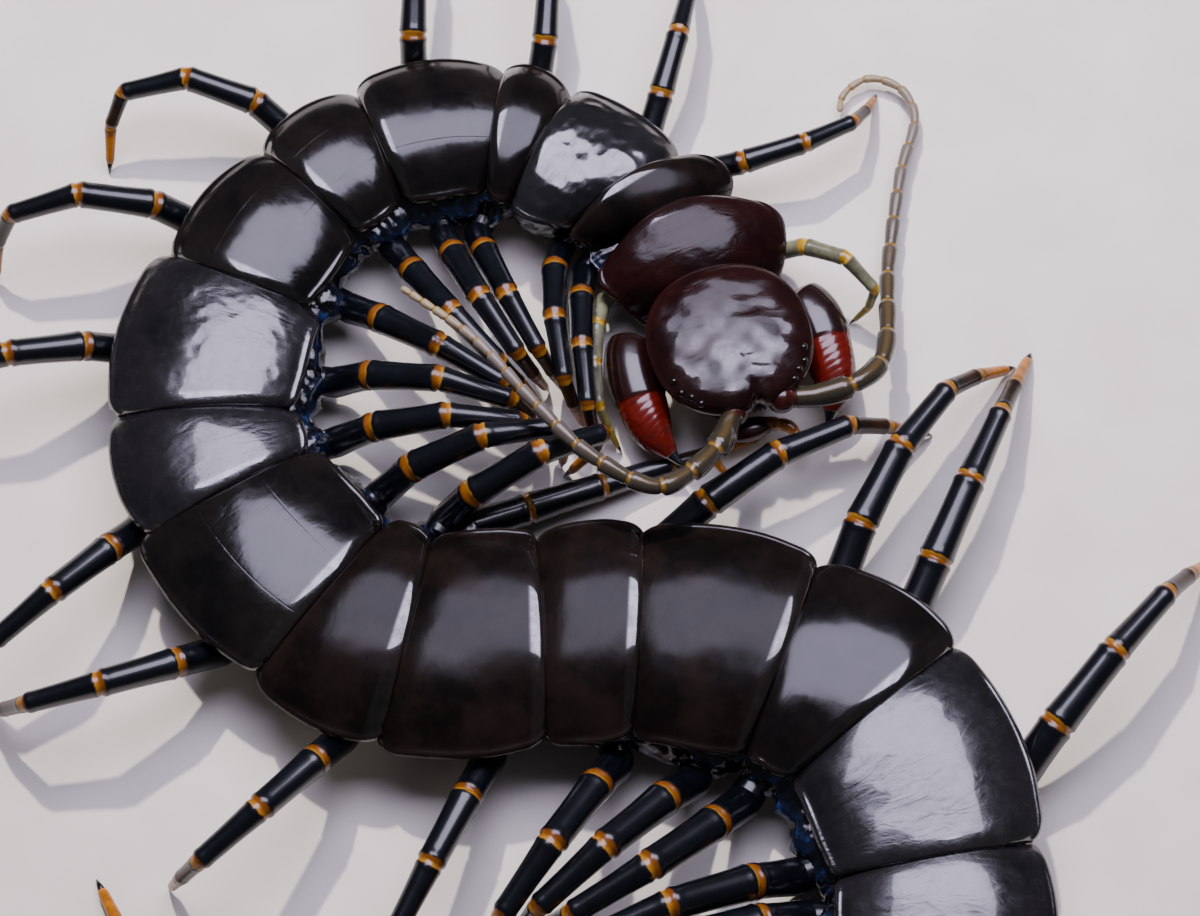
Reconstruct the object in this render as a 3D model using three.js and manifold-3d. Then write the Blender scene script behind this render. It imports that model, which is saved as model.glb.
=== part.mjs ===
// A giant centipede, life size, lying in a hook on a flat floor.
//
// Units are millimetres. X points right as the animal is seen from the front, Y points away from
// the viewer and Z points up from the floor at zero. Headings are degrees turned from +X towards +Y.
//
// The trunk is a chain of 21 segments. Each one carries a horny back plate, whose raised rear edge
// steps down to the next plate, and one pair of legs. A leg is five articles and a claw that bend
// in one leaning plane from the flank to its place on the floor.

import * as THREE from 'three';
import Module from 'manifold-3d';

const wasm = await Module();
wasm.setup();

const DEGREE = Math.PI / 180;
const GAP = 0.3;

// Heights of the trunk above the floor.
const BELLY = 1.6;
const ROOT_HEIGHT = 3.3;
const RIM = 7.0;
const BACK = 9.6;

// Where the head meets the trunk, and which way the trunk first runs from there.
const NECK = { x: 9.7, y: 17.5 };
const NECK_HEADING = 106;
const NECK_SKEW = -9;
const COLLAR_LENGTH = 1.5;
const HEAD_REACH = 7.3;

// One row for each trunk segment: its length, its width over the back plate's rims, the turn that
// it makes from the segment before it and how far the cut behind it is turned from square.
const SEGMENTS = [
  [7.0, 18.2, 13, -18],
  [4.7, 15.8, 30, -23],
  [8.7, 15.4, 1, 0],
  [4.9, 14.3, 6, 0],
  [11.0, 14.2, 33, 0],
  [8.1, 13.9, 28, 0],
  [11.3, 14.8, 20, 0],
  [13.0, 17.4, 22, 0],
  [8.3, 17.2, 29, 0],
  [13.2, 19.0, 24, 0],
  [8.4, 20.2, 21, 0],
  [11.8, 21.0, 29, 0],
  [8.5, 20.8, 2, 0],
  [12.8, 20.8, -15, 0],
  [9.4, 20.0, -21, 0],
  [14.2, 19.5, -38, 0],
  [9.2, 18.6, -20, 0],
  [11.0, 17.6, -28, 0],
  [7.6, 16.4, -24, 0],
  [10.0, 14.8, -22, 0],
  [8.0, 12.4, -12, 0],
];

// The segments that make up each length of the trunk.
const LENGTHS = [
  [1, 1], [2, 3], [4, 5], [6, 7], [8, 9], [10, 11], [12, 13], [14, 15], [16, 17], [18, 19], [20, 21],
];

// How a leg's articles run from the flank to the claw: length, radius near the root and radius near
// the tip.
const WALKING_ARTICLES = [
  [5.4, 1.45, 1.35],
  [7.0, 1.38, 1.22],
  [6.6, 1.14, 0.92],
  [3.9, 0.78, 0.66],
  [4.0, 0.6, 0.42],
];
const LAST_ARTICLES = [
  [12.6, 1.7, 1.5],
  [11.4, 1.5, 1.3],
  [9.6, 1.22, 1.02],
  [7.2, 0.88, 0.72],
  [5.2, 0.64, 0.42],
];
const CLAW_LENGTH = 1.25;
const FOOT_RADIUS = 0.27;
const COXA_LENGTH = 1.0;
const COXA_SHARE = 0.92;

// How the bend is shared among the joints after each article but the last.
const BEND_SHARE = [0.55, 0.8, 1.25, 0.4];
const LEG_SIDES = 8;

// One row for each pair of legs: its size against a middle leg, then for the left and the right
// leg the foot's X and Y on the floor, how far the plane of the leg leans to its own left, and the
// share of the segment's length at which the leg stands.
const LEGS = [
  [0.6, [23.2, 15.4, 25, 0.15], [2.0, 2.4, -25, 0.35]],
  [0.84, [26.5, 39.5, -40, 0.7], [0.3, 0.9, -10, -0.02]],
  [0.88, [9.0, 54.0, -10, 0.35], [-1.2, 4.8, -14, 0.04]],
  [0.9, [-8.0, 58.0, -20, 0.6], [-3.1, 8.5, -13, 1.12]],
  [0.94, [-16.0, 57.0, 5, 0.6], [-4.7, 8.6, -15, 0.57]],
  [0.95, [-46.5, 31.0, -40, 0.6], [-5.4, 7.4, -16, 0.49]],
  [1.0, [-56.5, 19.5, -20, 0.6], [-4.5, 5.3, -10, 0.6]],
  [1.0, [-63.0, 5.5, 0, 0.5], [-5.3, 3.6, 0, 0.52]],
  [1.0, [-56.5, -19.0, 15, 0.8], [-3.7, 1.9, 2, 0.64]],
  [1.01, [-54.5, -22.5, 20, 0.7], [-3.5, 1.0, 3, 0.62]],
  [1.02, [-37.5, -38.5, 15, 0.7], [-3.3, 0.1, -5, 0.95]],
  [1.03, [-21.0, -50.0, 5, 0.65], [15.8, 4.4, -39, 0.31]],
  [1.1, [-9.8, -44.0, 5, 0.8], [30.5, 4.2, 25, 1.15]],
  [1.13, [-7.6, -43.6, 5, 0.6], [38.5, 11.0, 30, 1.14]],
  [1.15, [-5.3, -41.9, 15, 0.38], [40.0, 12.5, 0, 0.65]],
  [1.16, [-5.0, -46.8, 0, 0.8], [55.5, -8.0, 5, 0.65]],
  [1.16, [-5.0, -49.1, 0, 0.5], [62.0, -52.0, 0, 0.6]],
  [1.16, [-7.3, -51.7, 0, 0.4], [55.5, -71.0, 0, 0.6]],
  [1.14, [-8.5, -53.6, 0, 0.43], [36.0, -88.0, 0, 0.6]],
  [1.12, [-11.5, -56.6, 0, 0.5], [6.0, -93.0, 0, 0.6]],
];
const LAST_LEGS = [1.1, [-43.9, -37.6, 65], [-46.0, -75.0, 0]];

// Colours of the living animal.
const COLOURS = {
  plate: 0x17181a,
  shield: 0x2a1213,
  leg: 0x14161d,
  feeler: 0x6d6248,
  fang: 0x6a1410,
  mouth: 0xa8661c,
};

const centipede = new THREE.Group();

// Basic solid making

function turned(degrees) {
  return new THREE.Vector3(Math.cos(degrees * DEGREE), Math.sin(degrees * DEGREE), 0);
}

// A closed solid from its corners and triangles, turned right side out.
function solidFrom(corners, triangles) {
  let volume = 0;
  for (const [a, b, c] of triangles) {
    volume += corners[a].dot(new THREE.Vector3().crossVectors(corners[b], corners[c]));
  }
  const faces = volume < 0 ? triangles.map(([a, b, c]) => [a, c, b]) : triangles;
  const vertProperties = Float32Array.from(corners.flatMap((corner) => corner.toArray()));
  const triVerts = Uint32Array.from(faces.flat());
  return new wasm.Manifold(new wasm.Mesh({ numProp: 3, vertProperties, triVerts }));
}

// A solid through a row of rings that have equal numbers of corners. Each end is closed by the
// given triangles of ring numbers, or else by a fan round the ring's middle.
function loft(rings, endTriangles) {
  const count = rings[0].length;
  const corners = rings.flat();
  const triangles = [];
  for (let ring = 0; ring + 1 < rings.length; ring += 1) {
    for (let side = 0; side < count; side += 1) {
      const next = (side + 1) % count;
      const a = ring * count + side;
      const b = ring * count + next;
      triangles.push([a, b, b + count], [a, b + count, a + count]);
    }
  }
  for (const [ring, flip] of [[0, true], [rings.length - 1, false]]) {
    const first = ring * count;
    let cap = endTriangles;
    if (!cap) {
      const middle = new THREE.Vector3();
      rings[ring].forEach((corner) => middle.addScaledVector(corner, 1 / count));
      const centre = corners.push(middle) - 1 - first;
      cap = rings[ring].map((corner, side) => [side, (side + 1) % count, centre]);
    }
    for (const [a, b, c] of cap) {
      triangles.push(flip ? [first + a, first + c, first + b] : [first + a, first + b, first + c]);
    }
  }
  return solidFrom(corners, triangles);
}

// A ring of corners round a centre, from two crossing half-axes.
function roundRing(centre, axisA, axisB, sides) {
  const ring = [];
  for (let side = 0; side < sides; side += 1) {
    const angle = (side / sides) * 2 * Math.PI;
    const corner = centre.clone().addScaledVector(axisA, Math.cos(angle));
    ring.push(corner.addScaledVector(axisB, Math.sin(angle)));
  }
  return ring;
}

// A flat ring whose corners follow those of a neighbouring ring without twisting.
function flatRing(centre, normal, neighbour, radius) {
  const middle = new THREE.Vector3();
  neighbour.forEach((corner) => middle.addScaledVector(corner, 1 / neighbour.length));
  return neighbour.map((corner) => {
    const spoke = corner.clone().sub(middle);
    const level = spoke.clone().addScaledVector(normal, -spoke.dot(normal)).normalize();
    return centre.clone().addScaledVector(level, radius);
  });
}

// A solid of round sections along a bent line. Each station has a place, a half-width and a
// half-height, and every section stands square to the line.
function limb(stations, sides, across) {
  const rings = stations.map(({ place, wide, high }, index) => {
    const before = stations[Math.max(index - 1, 0)].place;
    const after = stations[Math.min(index + 1, stations.length - 1)].place;
    const along = after.clone().sub(before).normalize();
    const side = across.clone().addScaledVector(along, -across.dot(along)).normalize();
    const lift = new THREE.Vector3().crossVectors(along, side);
    return roundRing(place, side.multiplyScalar(wide), lift.multiplyScalar(high), sides);
  });
  return loft(rings);
}

// A three.js geometry as a solid, put in place by a matrix.
function solidFromGeometry(geometry, matrix) {
  const placed = geometry.clone().applyMatrix4(matrix);
  const position = placed.getAttribute('position');
  const corners = [];
  const seen = new Map();
  const renumbered = [];
  for (let index = 0; index < position.count; index += 1) {
    const corner = new THREE.Vector3().fromBufferAttribute(position, index);
    const key = corner.toArray().map((value) => value.toFixed(4)).join();
    if (!seen.has(key)) {
      seen.set(key, corners.push(corner) - 1);
    }
    renumbered.push(seen.get(key));
  }
  const index = placed.index ? Array.from(placed.index.array) : renumbered.map((value, at) => at);
  const triangles = [];
  for (let at = 0; at < index.length; at += 3) {
    const [a, b, c] = index.slice(at, at + 3).map((value) => renumbered[value]);
    if (a !== b && b !== c && c !== a) {
      triangles.push([a, b, c]);
    }
  }
  return solidFrom(corners, triangles);
}

// Adds a node to the animal, keeping only the largest closed piece of its solid.
function addNode(name, solid, colour) {
  const pieces = solid.decompose();
  pieces.sort((one, other) => other.volume() - one.volume());
  const { vertProperties, triVerts } = pieces[0].getMesh();
  const geometry = new THREE.BufferGeometry();
  geometry.setAttribute('position', new THREE.BufferAttribute(vertProperties, 3));
  geometry.setIndex(new THREE.BufferAttribute(triVerts, 1));
  const material = new THREE.MeshStandardMaterial({ color: colour, roughness: 0.25, metalness: 0 });
  const mesh = new THREE.Mesh(geometry, material);
  mesh.name = name;
  centipede.add(mesh);
}

// The trunk

// The joints between segments, and the sideways direction of the cut through each of them.
function layTrunk() {
  const joints = [new THREE.Vector3(NECK.x, NECK.y, 0)];
  const headings = [];
  let heading = NECK_HEADING;
  for (const [length, , turn] of SEGMENTS) {
    heading += turn;
    headings.push(heading);
    joints.push(joints[joints.length - 1].clone().addScaledVector(turned(heading), length));
  }
  const cuts = joints.map((place, index) => {
    const before = headings[Math.max(index - 1, 0)];
    const after = headings[Math.min(index, headings.length - 1)];
    const middle = (before + after) / 2;
    const turn = after - before;
    const skew = index ? SEGMENTS[index - 1][3] : NECK_SKEW;
    return {
      place,
      along: turned(middle + skew),
      left: turned(middle + skew - 90).multiplyScalar(1 / Math.cos((turn / 2) * DEGREE)),
      turn,
    };
  });
  return { cuts, headings };
}

const trunk = layTrunk();

// The width of the body at a share of a segment's length: its own in the middle, and the mean of two
// neighbours where they meet.
function trunkWidth(segment, share) {
  const own = SEGMENTS[segment - 1][1];
  const neighbour = SEGMENTS[Math.max(segment - 2, 0)][1];
  const next = SEGMENTS[Math.min(segment, SEGMENTS.length - 1)][1];
  return own + ((share < 0.5 ? neighbour : next) - own) * Math.abs(share - 0.5);
}

// How far the soft flank stands out, as a share of the half-width. It is pushed out on the inner
// side of a bend and drawn in on the outer side.
const FLANK_REST = 0.76;
const FLANK_PUSH = 0.011;
const FLANK_LEAST = 0.7;
const FLANK_MOST = 1.05;
const FLANK_MOST_IN_FRONT = 0.86;
const FRONT_SEGMENTS = 3;

function flankShare(segment, share, side) {
  const before = trunk.cuts[segment - 1].turn;
  const after = trunk.cuts[segment].turn;
  const turn = before + (after - before) * share;
  const pushed = FLANK_REST - side * FLANK_PUSH * turn;
  const most = segment > FRONT_SEGMENTS ? FLANK_MOST : FLANK_MOST_IN_FRONT;
  return Math.min(most, Math.max(FLANK_LEAST, pushed));
}

// A cross-section of the trunk as distances to the left and heights, from the belly round the left
// flank and over the back plate, with its half-width and lift, to the right flank.
function trunkSection(half, flanks, tuck, lift) {
  const thick = BACK - RIM;
  const rim = RIM + lift;
  const oneSide = (flank) => [
    [0.4 * half, BELLY],
    [0.62 * half, BELLY + 0.6],
    [flank * half, ROOT_HEIGHT - 0.2],
    [flank * half * 0.98, ROOT_HEIGHT + 1.5],
    [Math.min(0.86 * tuck, flank * half), rim - 0.5],
    [tuck, rim - 0.2],
    [0.985 * tuck, rim + 0.35],
    [0.93 * tuck, rim + 0.3],
    [0.72 * tuck, rim + 0.52 * thick],
    [0.38 * tuck, rim + 0.88 * thick],
  ];
  const left = oneSide(flanks[0]);
  const right = oneSide(flanks[1]).map(([across, height]) => [-across, height]).reverse();
  return [...left, [0, rim + thick], ...right];
}

// How much narrower a plate is at its front and its rear than in its middle: the first two and the
// others of the front half, then those of the rear half.
function narrowing(segment, share) {
  if (share > 0.5) {
    return segment < 3 ? [0.24, 0.16][segment - 1] : 0.06;
  }
  return segment < 8 ? 0.12 : 0.05;
}

// The sections along one segment: the share of its length, the plate's lift, the share of the
// narrowing that it has there and the pinch of its flanks.
const PLATE_STATIONS = [
  { share: 0, lift: -0.6, narrow: 1, pinch: 0.93 },
  { share: 0.14, lift: -0.2, narrow: 0.5, pinch: 1 },
  { share: 0.5, lift: 0, narrow: 0, pinch: 1.03 },
  { share: 0.88, lift: 0.08, narrow: 0.2, pinch: 1 },
  { share: 1, lift: 0.08, narrow: 1, pinch: 0.94 },
];
const STEP_BACK = 0.25;

// The neck dips towards the head over the first two plates: the dip where they meet and at the head.
const NECK_DIP = 0.9;
const FIRST_DIP = 1.2;

function neckDip(segment, share) {
  if (segment === 1) {
    return NECK_DIP + (FIRST_DIP - NECK_DIP) * (1 - share);
  }
  return segment === 2 ? NECK_DIP * (1 - share) : 0;
}

function sectionTriangles(section) {
  const contour = section.map(([across, height]) => new THREE.Vector2(across, height));
  return THREE.ShapeUtils.triangulateShape(contour, []);
}

// A place in a segment's plan: its share of the length and its distance to the left.
function planPlace(segment, share, across) {
  const front = trunk.cuts[segment - 1];
  const back = trunk.cuts[segment];
  const start = front.place.clone().addScaledVector(front.left, across);
  const end = back.place.clone().addScaledVector(back.left, across);
  const bend = ((front.turn + back.turn) / 2) * DEGREE;
  const bow = start.distanceTo(end) * bend * 0.5 * share * (1 - share);
  return start.lerp(end, share).addScaledVector(turned(trunk.headings[segment - 1] - 90), bow);
}

function segmentRings(segment, isFirst, isLast) {
  return PLATE_STATIONS.map(({ share, lift, narrow, pinch }) => {
    const half = trunkWidth(segment, share) / 2;
    const flanks = [1, -1].map((side) => pinch * flankShare(segment, share, side));
    const tuck = (SEGMENTS[segment - 1][1] / 2) * (1 - narrow * narrowing(segment, share));
    const section = trunkSection(half, flanks, tuck, lift - neckDip(segment, share));
    let shift = 0;
    if (share === 0) {
      shift = isFirst ? GAP / 2 : STEP_BACK;
    } else if (share === 1 && isLast) {
      shift = -GAP / 2;
    }
    const along = trunk.cuts[share === 0 ? segment - 1 : segment].along;
    return section.map(([across, height]) => {
      const corner = planPlace(segment, share, across).addScaledVector(along, shift);
      return corner.setZ(height);
    });
  });
}

// The first plate reaches forward as a collar under the rear of the head shield.
const COLLAR_FLANK = 0.6;

function collarRings() {
  const front = trunk.cuts[0];
  const half = SEGMENTS[0][1] / 2;
  const flanks = [COLLAR_FLANK, COLLAR_FLANK];
  return [COLLAR_LENGTH, COLLAR_LENGTH - 0.8].map((reach, index) => {
    const tuck = half * (index ? 0.92 : 0.86);
    const lift = -FIRST_DIP - (index ? 0.1 : 0.4);
    return trunkSection(half, flanks, tuck, lift).map(([across, height]) => {
      const corner = front.place.clone().addScaledVector(front.left, across);
      return corner.addScaledVector(front.along, -reach).setZ(height);
    });
  });
}

// Behind the flat rear face the trunk ends in a short narrow lobe between the last legs.
const LOBE = { reaches: [0.02, 2.2], across: 0.26, height: 0.55, middle: 4.6 };

function lobeRings() {
  const last = SEGMENTS.length;
  const half = SEGMENTS[last - 1][1] / 2;
  const back = trunk.cuts[last];
  const section = trunkSection(half, [FLANK_LEAST, FLANK_LEAST], 0.9 * half, -0.3);
  return LOBE.reaches.map((reach, index) => section.map(([across, height]) => {
    const corner = back.place.clone().addScaledVector(back.left, across * LOBE.across);
    const level = LOBE.middle + (height - LOBE.middle) * LOBE.height * (1 - 0.3 * index);
    return corner.addScaledVector(back.along, reach).setZ(level);
  }));
}

function addTrunk() {
  const capTriangles = sectionTriangles(trunkSection(8, [0.8, 0.8], 8, 0));
  LENGTHS.forEach(([first, last], index) => {
    const rings = index === 0 ? collarRings() : [];
    for (let segment = first; segment <= last; segment += 1) {
      const isFirst = segment === first;
      const isLast = segment === last && last < SEGMENTS.length;
      const own = segmentRings(segment, isFirst, isLast);
      rings.push(...(index === 0 ? own.slice(1) : own));
    }
    if (last === SEGMENTS.length) {
      rings.push(...lobeRings());
    }
    let solid = loft(rings, capTriangles);
    if (index === 0) {
      solid = solid.subtract(headClearance());
    }
    addNode(`trunk_${String(index + 1).padStart(2, '0')}`, solid, COLOURS.plate);
  });
}

// The head

const HEAD = {
  heading: NECK_HEADING + 180,
  halfWidth: 7.5,
  halfLength: HEAD_REACH,
  rim: 7.65,
  pitch: 2,
  roundness: 2.25,
};

// Turns places given as left, forward and up from the middle of the shield into the animal's place.
function placeHead() {
  const forward = turned(HEAD.heading);
  const left = turned(HEAD.heading + 90);
  const up = new THREE.Vector3(0, 0, 1);
  const middle = new THREE.Vector3(NECK.x, NECK.y, 0).addScaledVector(forward, HEAD_REACH);
  return new THREE.Matrix4().makeBasis(left, forward, up).setPosition(middle);
}

const headMatrix = placeHead();
const shieldMatrix = headMatrix.clone()
  .multiply(new THREE.Matrix4().makeTranslation(0, 0, HEAD.rim))
  .multiply(new THREE.Matrix4().makeRotationX(-HEAD.pitch * DEGREE));

// The outline of the shield at an angle from straight ahead, as left and forward.
function shieldEdge(angle, grow) {
  const across = Math.sin(angle);
  const ahead = Math.cos(angle);
  const power = HEAD.roundness;
  const wide = Math.abs(across / (HEAD.halfWidth + grow)) ** power;
  const long = Math.abs(ahead / (HEAD.halfLength + grow)) ** power;
  const reach = (wide + long) ** (-1 / power);
  return [across * reach, ahead * reach];
}

function shieldRing(share, height, sides, grow = 0) {
  const ring = [];
  for (let side = 0; side < sides; side += 1) {
    const [left, forward] = shieldEdge((side / sides) * 2 * Math.PI, grow);
    ring.push(new THREE.Vector3(left * share, forward * share, height));
  }
  return ring;
}

// What the neighbours of the head must keep clear of: its outline, grown by the gap.
function headClearance() {
  const rings = [4.3, 14].map((height) => {
    return shieldRing(1, height, 32, GAP).map((corner) => corner.applyMatrix4(headMatrix));
  });
  return loft(rings);
}

const SHIELD_SIDES = 32;
const SHIELD_STEPS = [
  [0.3, 1.82], [0.6, 1.66], [0.84, 1.17], [0.95, 0.64], [1.0, 0.12],
  [0.985, -0.3], [0.88, -0.6], [0.78, -1.0], [0.76, -2.5], [0.5, -2.6],
];
const SOCKET = { middle: 0.7, apart: 2.2, forward: 6.6, up: -0.45, radius: 1.5 };

// The four small eyes of each side: left and forward on the shield, and the height of their middles.
const EYE_RADIUS = 0.5;
const EYES = [[5.0, 4.75, 0.45], [5.75, 4.05, 0.4], [6.1, 2.8, 0.55], [4.35, 5.55, 0.4]];

function addHead() {
  const rings = SHIELD_STEPS.map(([share, height]) => {
    return shieldRing(share, height, SHIELD_SIDES).map((corner) => corner.applyMatrix4(shieldMatrix));
  });
  let solid = loft(rings);
  for (const side of [1, -1]) {
    const socket = new THREE.SphereGeometry(SOCKET.radius, 12, 8);
    const left = SOCKET.middle + side * SOCKET.apart;
    const place = new THREE.Matrix4().makeTranslation(left, SOCKET.forward, SOCKET.up);
    solid = solid.add(solidFromGeometry(socket, shieldMatrix.clone().multiply(place)));
    for (const [left, forward, up] of EYES) {
      const eye = new THREE.SphereGeometry(EYE_RADIUS, 8, 6);
      const seat = new THREE.Matrix4().makeTranslation(side * left, forward, up);
      solid = solid.add(solidFromGeometry(eye, shieldMatrix.clone().multiply(seat)));
    }
  }
  const notch = new THREE.Shape([
    new THREE.Vector2(-0.3, 8.5),
    new THREE.Vector2(0.3, 8.5),
    new THREE.Vector2(0, 6.1),
  ]);
  const wedge = new THREE.ExtrudeGeometry(notch, { depth: 4, bevelEnabled: false });
  const lowered = new THREE.Matrix4().makeTranslation(SOCKET.middle, 0, -0.8);
  solid = solid.subtract(solidFromGeometry(wedge, shieldMatrix.clone().multiply(lowered)));
  addNode('head', solid, COLOURS.shield);
}

// The poison jaws and the plate that carries them, below the head shield.

const JAW_PLATE = { bottom: 1.9, top: 3.8 };
const TEETH = 4;
const TOOTH = { width: 0.5, height: 0.45 };

function addJawPlate() {
  const outline = [[4.6, -5.0], [5.5, -4.2], [5.7, -1.0], [5.6, 1.0], [4.8, 3.2], [2.4, 5.0]];
  for (const side of [1, -1]) {
    for (let tooth = 0; tooth < TEETH; tooth += 1) {
      const start = side > 0 ? 2.2 - tooth * TOOTH.width : -0.2 - tooth * TOOTH.width;
      outline.push([start, 5.2], [start - TOOTH.width / 2, 5.2 + TOOTH.height]);
    }
    outline.push([side > 0 ? 0.2 : -2.2, 5.2]);
  }
  outline.push([-2.4, 5.0], [-4.8, 3.2], [-5.6, 1.0], [-5.7, -1.0], [-5.5, -4.2], [-4.6, -5.0]);
  const shape = new THREE.Shape(outline.map(([left, forward]) => new THREE.Vector2(left, forward)));
  const depth = JAW_PLATE.top - JAW_PLATE.bottom;
  const plate = new THREE.ExtrudeGeometry(shape, { depth, bevelEnabled: false });
  const lifted = new THREE.Matrix4().makeTranslation(0, 0, JAW_PLATE.bottom);
  const solid = solidFromGeometry(plate, headMatrix.clone().multiply(lifted));
  addNode('jaw_plate', solid, COLOURS.shield);
}

// Each jaw sweeps out round the head and forward to its claw: left, forward, up and half-width.
const JAW_PATH = [
  [7.6, -4.5, 3.8, 1.3],
  [8.2, -3.5, 3.95, 2.15],
  [8.7, -1.8, 4.0, 2.55],
  [8.9, 0.2, 4.0, 2.55],
  [8.9, 2.2, 3.9, 2.45],
  [8.8, 4.0, 3.7, 2.25],
  [8.5, 5.6, 3.4, 1.8],
  [7.9, 6.9, 3.1, 1.1],
  [7.4, 7.8, 2.8, 0.6],
  [6.9, 8.6, 2.5, 0.2],
];
const JAW_FLATNESS = 0.84;

function addJaws() {
  for (const [name, side] of [['left', 1], ['right', -1]]) {
    const stations = JAW_PATH.map(([left, forward, up, wide]) => ({
      place: new THREE.Vector3(side * left, forward, up).applyMatrix4(headMatrix),
      wide,
      high: wide * JAW_FLATNESS,
    }));
    addNode(`jaw_${name}`, limb(stations, 12, turned(HEAD.heading + 90)), COLOURS.fang);
  }
}

// The mouth feelers stand out from a small body in front of the toothed plate.
const PALP_PATH = [
  [0.8, 6.9, 3.0, 0.8],
  [2.1, 7.3, 3.1, 0.78],
  [3.5, 8.0, 3.2, 0.72],
  [3.9, 9.0, 2.9, 0.6],
  [3.4, 10.0, 2.4, 0.42],
  [2.9, 10.5, 2.1, 0.18],
];

function addMouth() {
  const lip = new THREE.SphereGeometry(1, 14, 8);
  const shape = new THREE.Matrix4().makeTranslation(0, 7.15, 3.0);
  shape.multiply(new THREE.Matrix4().makeScale(2.3, 1.1, 0.95));
  let solid = solidFromGeometry(lip, headMatrix.clone().multiply(shape));
  for (const side of [1, -1]) {
    const stations = PALP_PATH.map(([left, forward, up, wide]) => ({
      place: new THREE.Vector3(side * left, forward, up).applyMatrix4(headMatrix),
      wide,
      high: wide,
    }));
    solid = solid.add(limb(stations, 8, turned(HEAD.heading)));
  }
  addNode('mouth', solid, COLOURS.mouth);
}

// Each feeler runs from its socket along a smooth line through these places.
const FEELER_ROUTES = {
  right: [
    [10.8, -0.1, 9.2], [8.2, -3.3, 10.3], [4.9, -5.2, 11.2], [-1.0, -2.6, 12.4], [-5.6, 1.9, 12.8],
    [-11.3, 8.3, 13.0], [-17.8, 13.4, 12.6],
  ],
  left: [
    [19.5, 5.4, 6.6], [22.9, 6.4, 7.0], [25.6, 9.3, 5.8], [26.8, 20.4, 2.6], [28.4, 30.5, 1.8],
    [29.9, 36.6, 1.5], [28.6, 39.6, 1.3], [25.6, 40.6, 1.3], [23.2, 38.9, 1.2], [22.8, 37.0, 1.2],
  ],
};
const FEELER_ARTICLES = 18;
const FEELER_BASE = 1.15;
const FEELER_TIP = 0.32;
const SOCKET_CLEARANCE = 0.75;

function addFeelers() {
  for (const [name, side] of [['left', 1], ['right', -1]]) {
    const left = SOCKET.middle + side * SOCKET.apart;
    const socket = new THREE.Vector3(left, SOCKET.forward, SOCKET.up);
    socket.applyMatrix4(shieldMatrix);
    const route = FEELER_ROUTES[name].map((place) => new THREE.Vector3(...place));
    const away = route[0].clone().sub(socket).normalize();
    const start = socket.clone().addScaledVector(away, SOCKET.radius + SOCKET_CLEARANCE);
    const line = new THREE.CatmullRomCurve3([start, ...route], false, 'centripetal');
    // Article lengths fall off towards the tip, and each one is a little wider at its far end.
    const shares = [0];
    for (let article = 0; article < FEELER_ARTICLES; article += 1) {
      shares.push(shares[article] + 1 - 0.72 * (article / FEELER_ARTICLES) ** 0.8);
    }
    const total = shares[FEELER_ARTICLES];
    const stations = [];
    for (let article = 0; article < FEELER_ARTICLES; article += 1) {
      const from = shares[article] / total;
      const to = shares[article + 1] / total;
      const radius = FEELER_BASE + (FEELER_TIP - FEELER_BASE) * from ** 0.75;
      const near = { place: line.getPointAt(from + 0.12 * (to - from)), wide: radius * 0.86 };
      const far = { place: line.getPointAt(from + 0.86 * (to - from)), wide: radius };
      stations.push(near, far);
    }
    stations.forEach((station) => {
      station.high = station.wide;
    });
    addNode(`feeler_${name}`, limb(stations, 8, new THREE.Vector3(0, 0, 1)), COLOURS.feeler);
  }
}

// The legs

// The joints of a leg whose bend is shared out evenly by BEND_SHARE, as distances along and above
// the straight line from its root to its foot.
function arch(lengths, reach) {
  const trace = (bend) => {
    const joints = [new THREE.Vector2(0, 0)];
    let slope = 0;
    lengths.forEach((length, index) => {
      const step = new THREE.Vector2(Math.cos(slope), Math.sin(slope)).multiplyScalar(length);
      joints.push(step.add(joints[joints.length - 1]));
      slope -= (BEND_SHARE[index] ?? 0) * bend;
    });
    return joints;
  };
  let low = 0;
  let high = 75 * DEGREE;
  for (let step = 0; step < 40; step += 1) {
    const bend = (low + high) / 2;
    if (trace(bend).at(-1).length() > reach) {
      low = bend;
    } else {
      high = bend;
    }
  }
  const joints = trace(low);
  const turn = -joints.at(-1).angle();
  return joints.map((joint) => joint.rotateAround(new THREE.Vector2(0, 0), turn));
}

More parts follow.
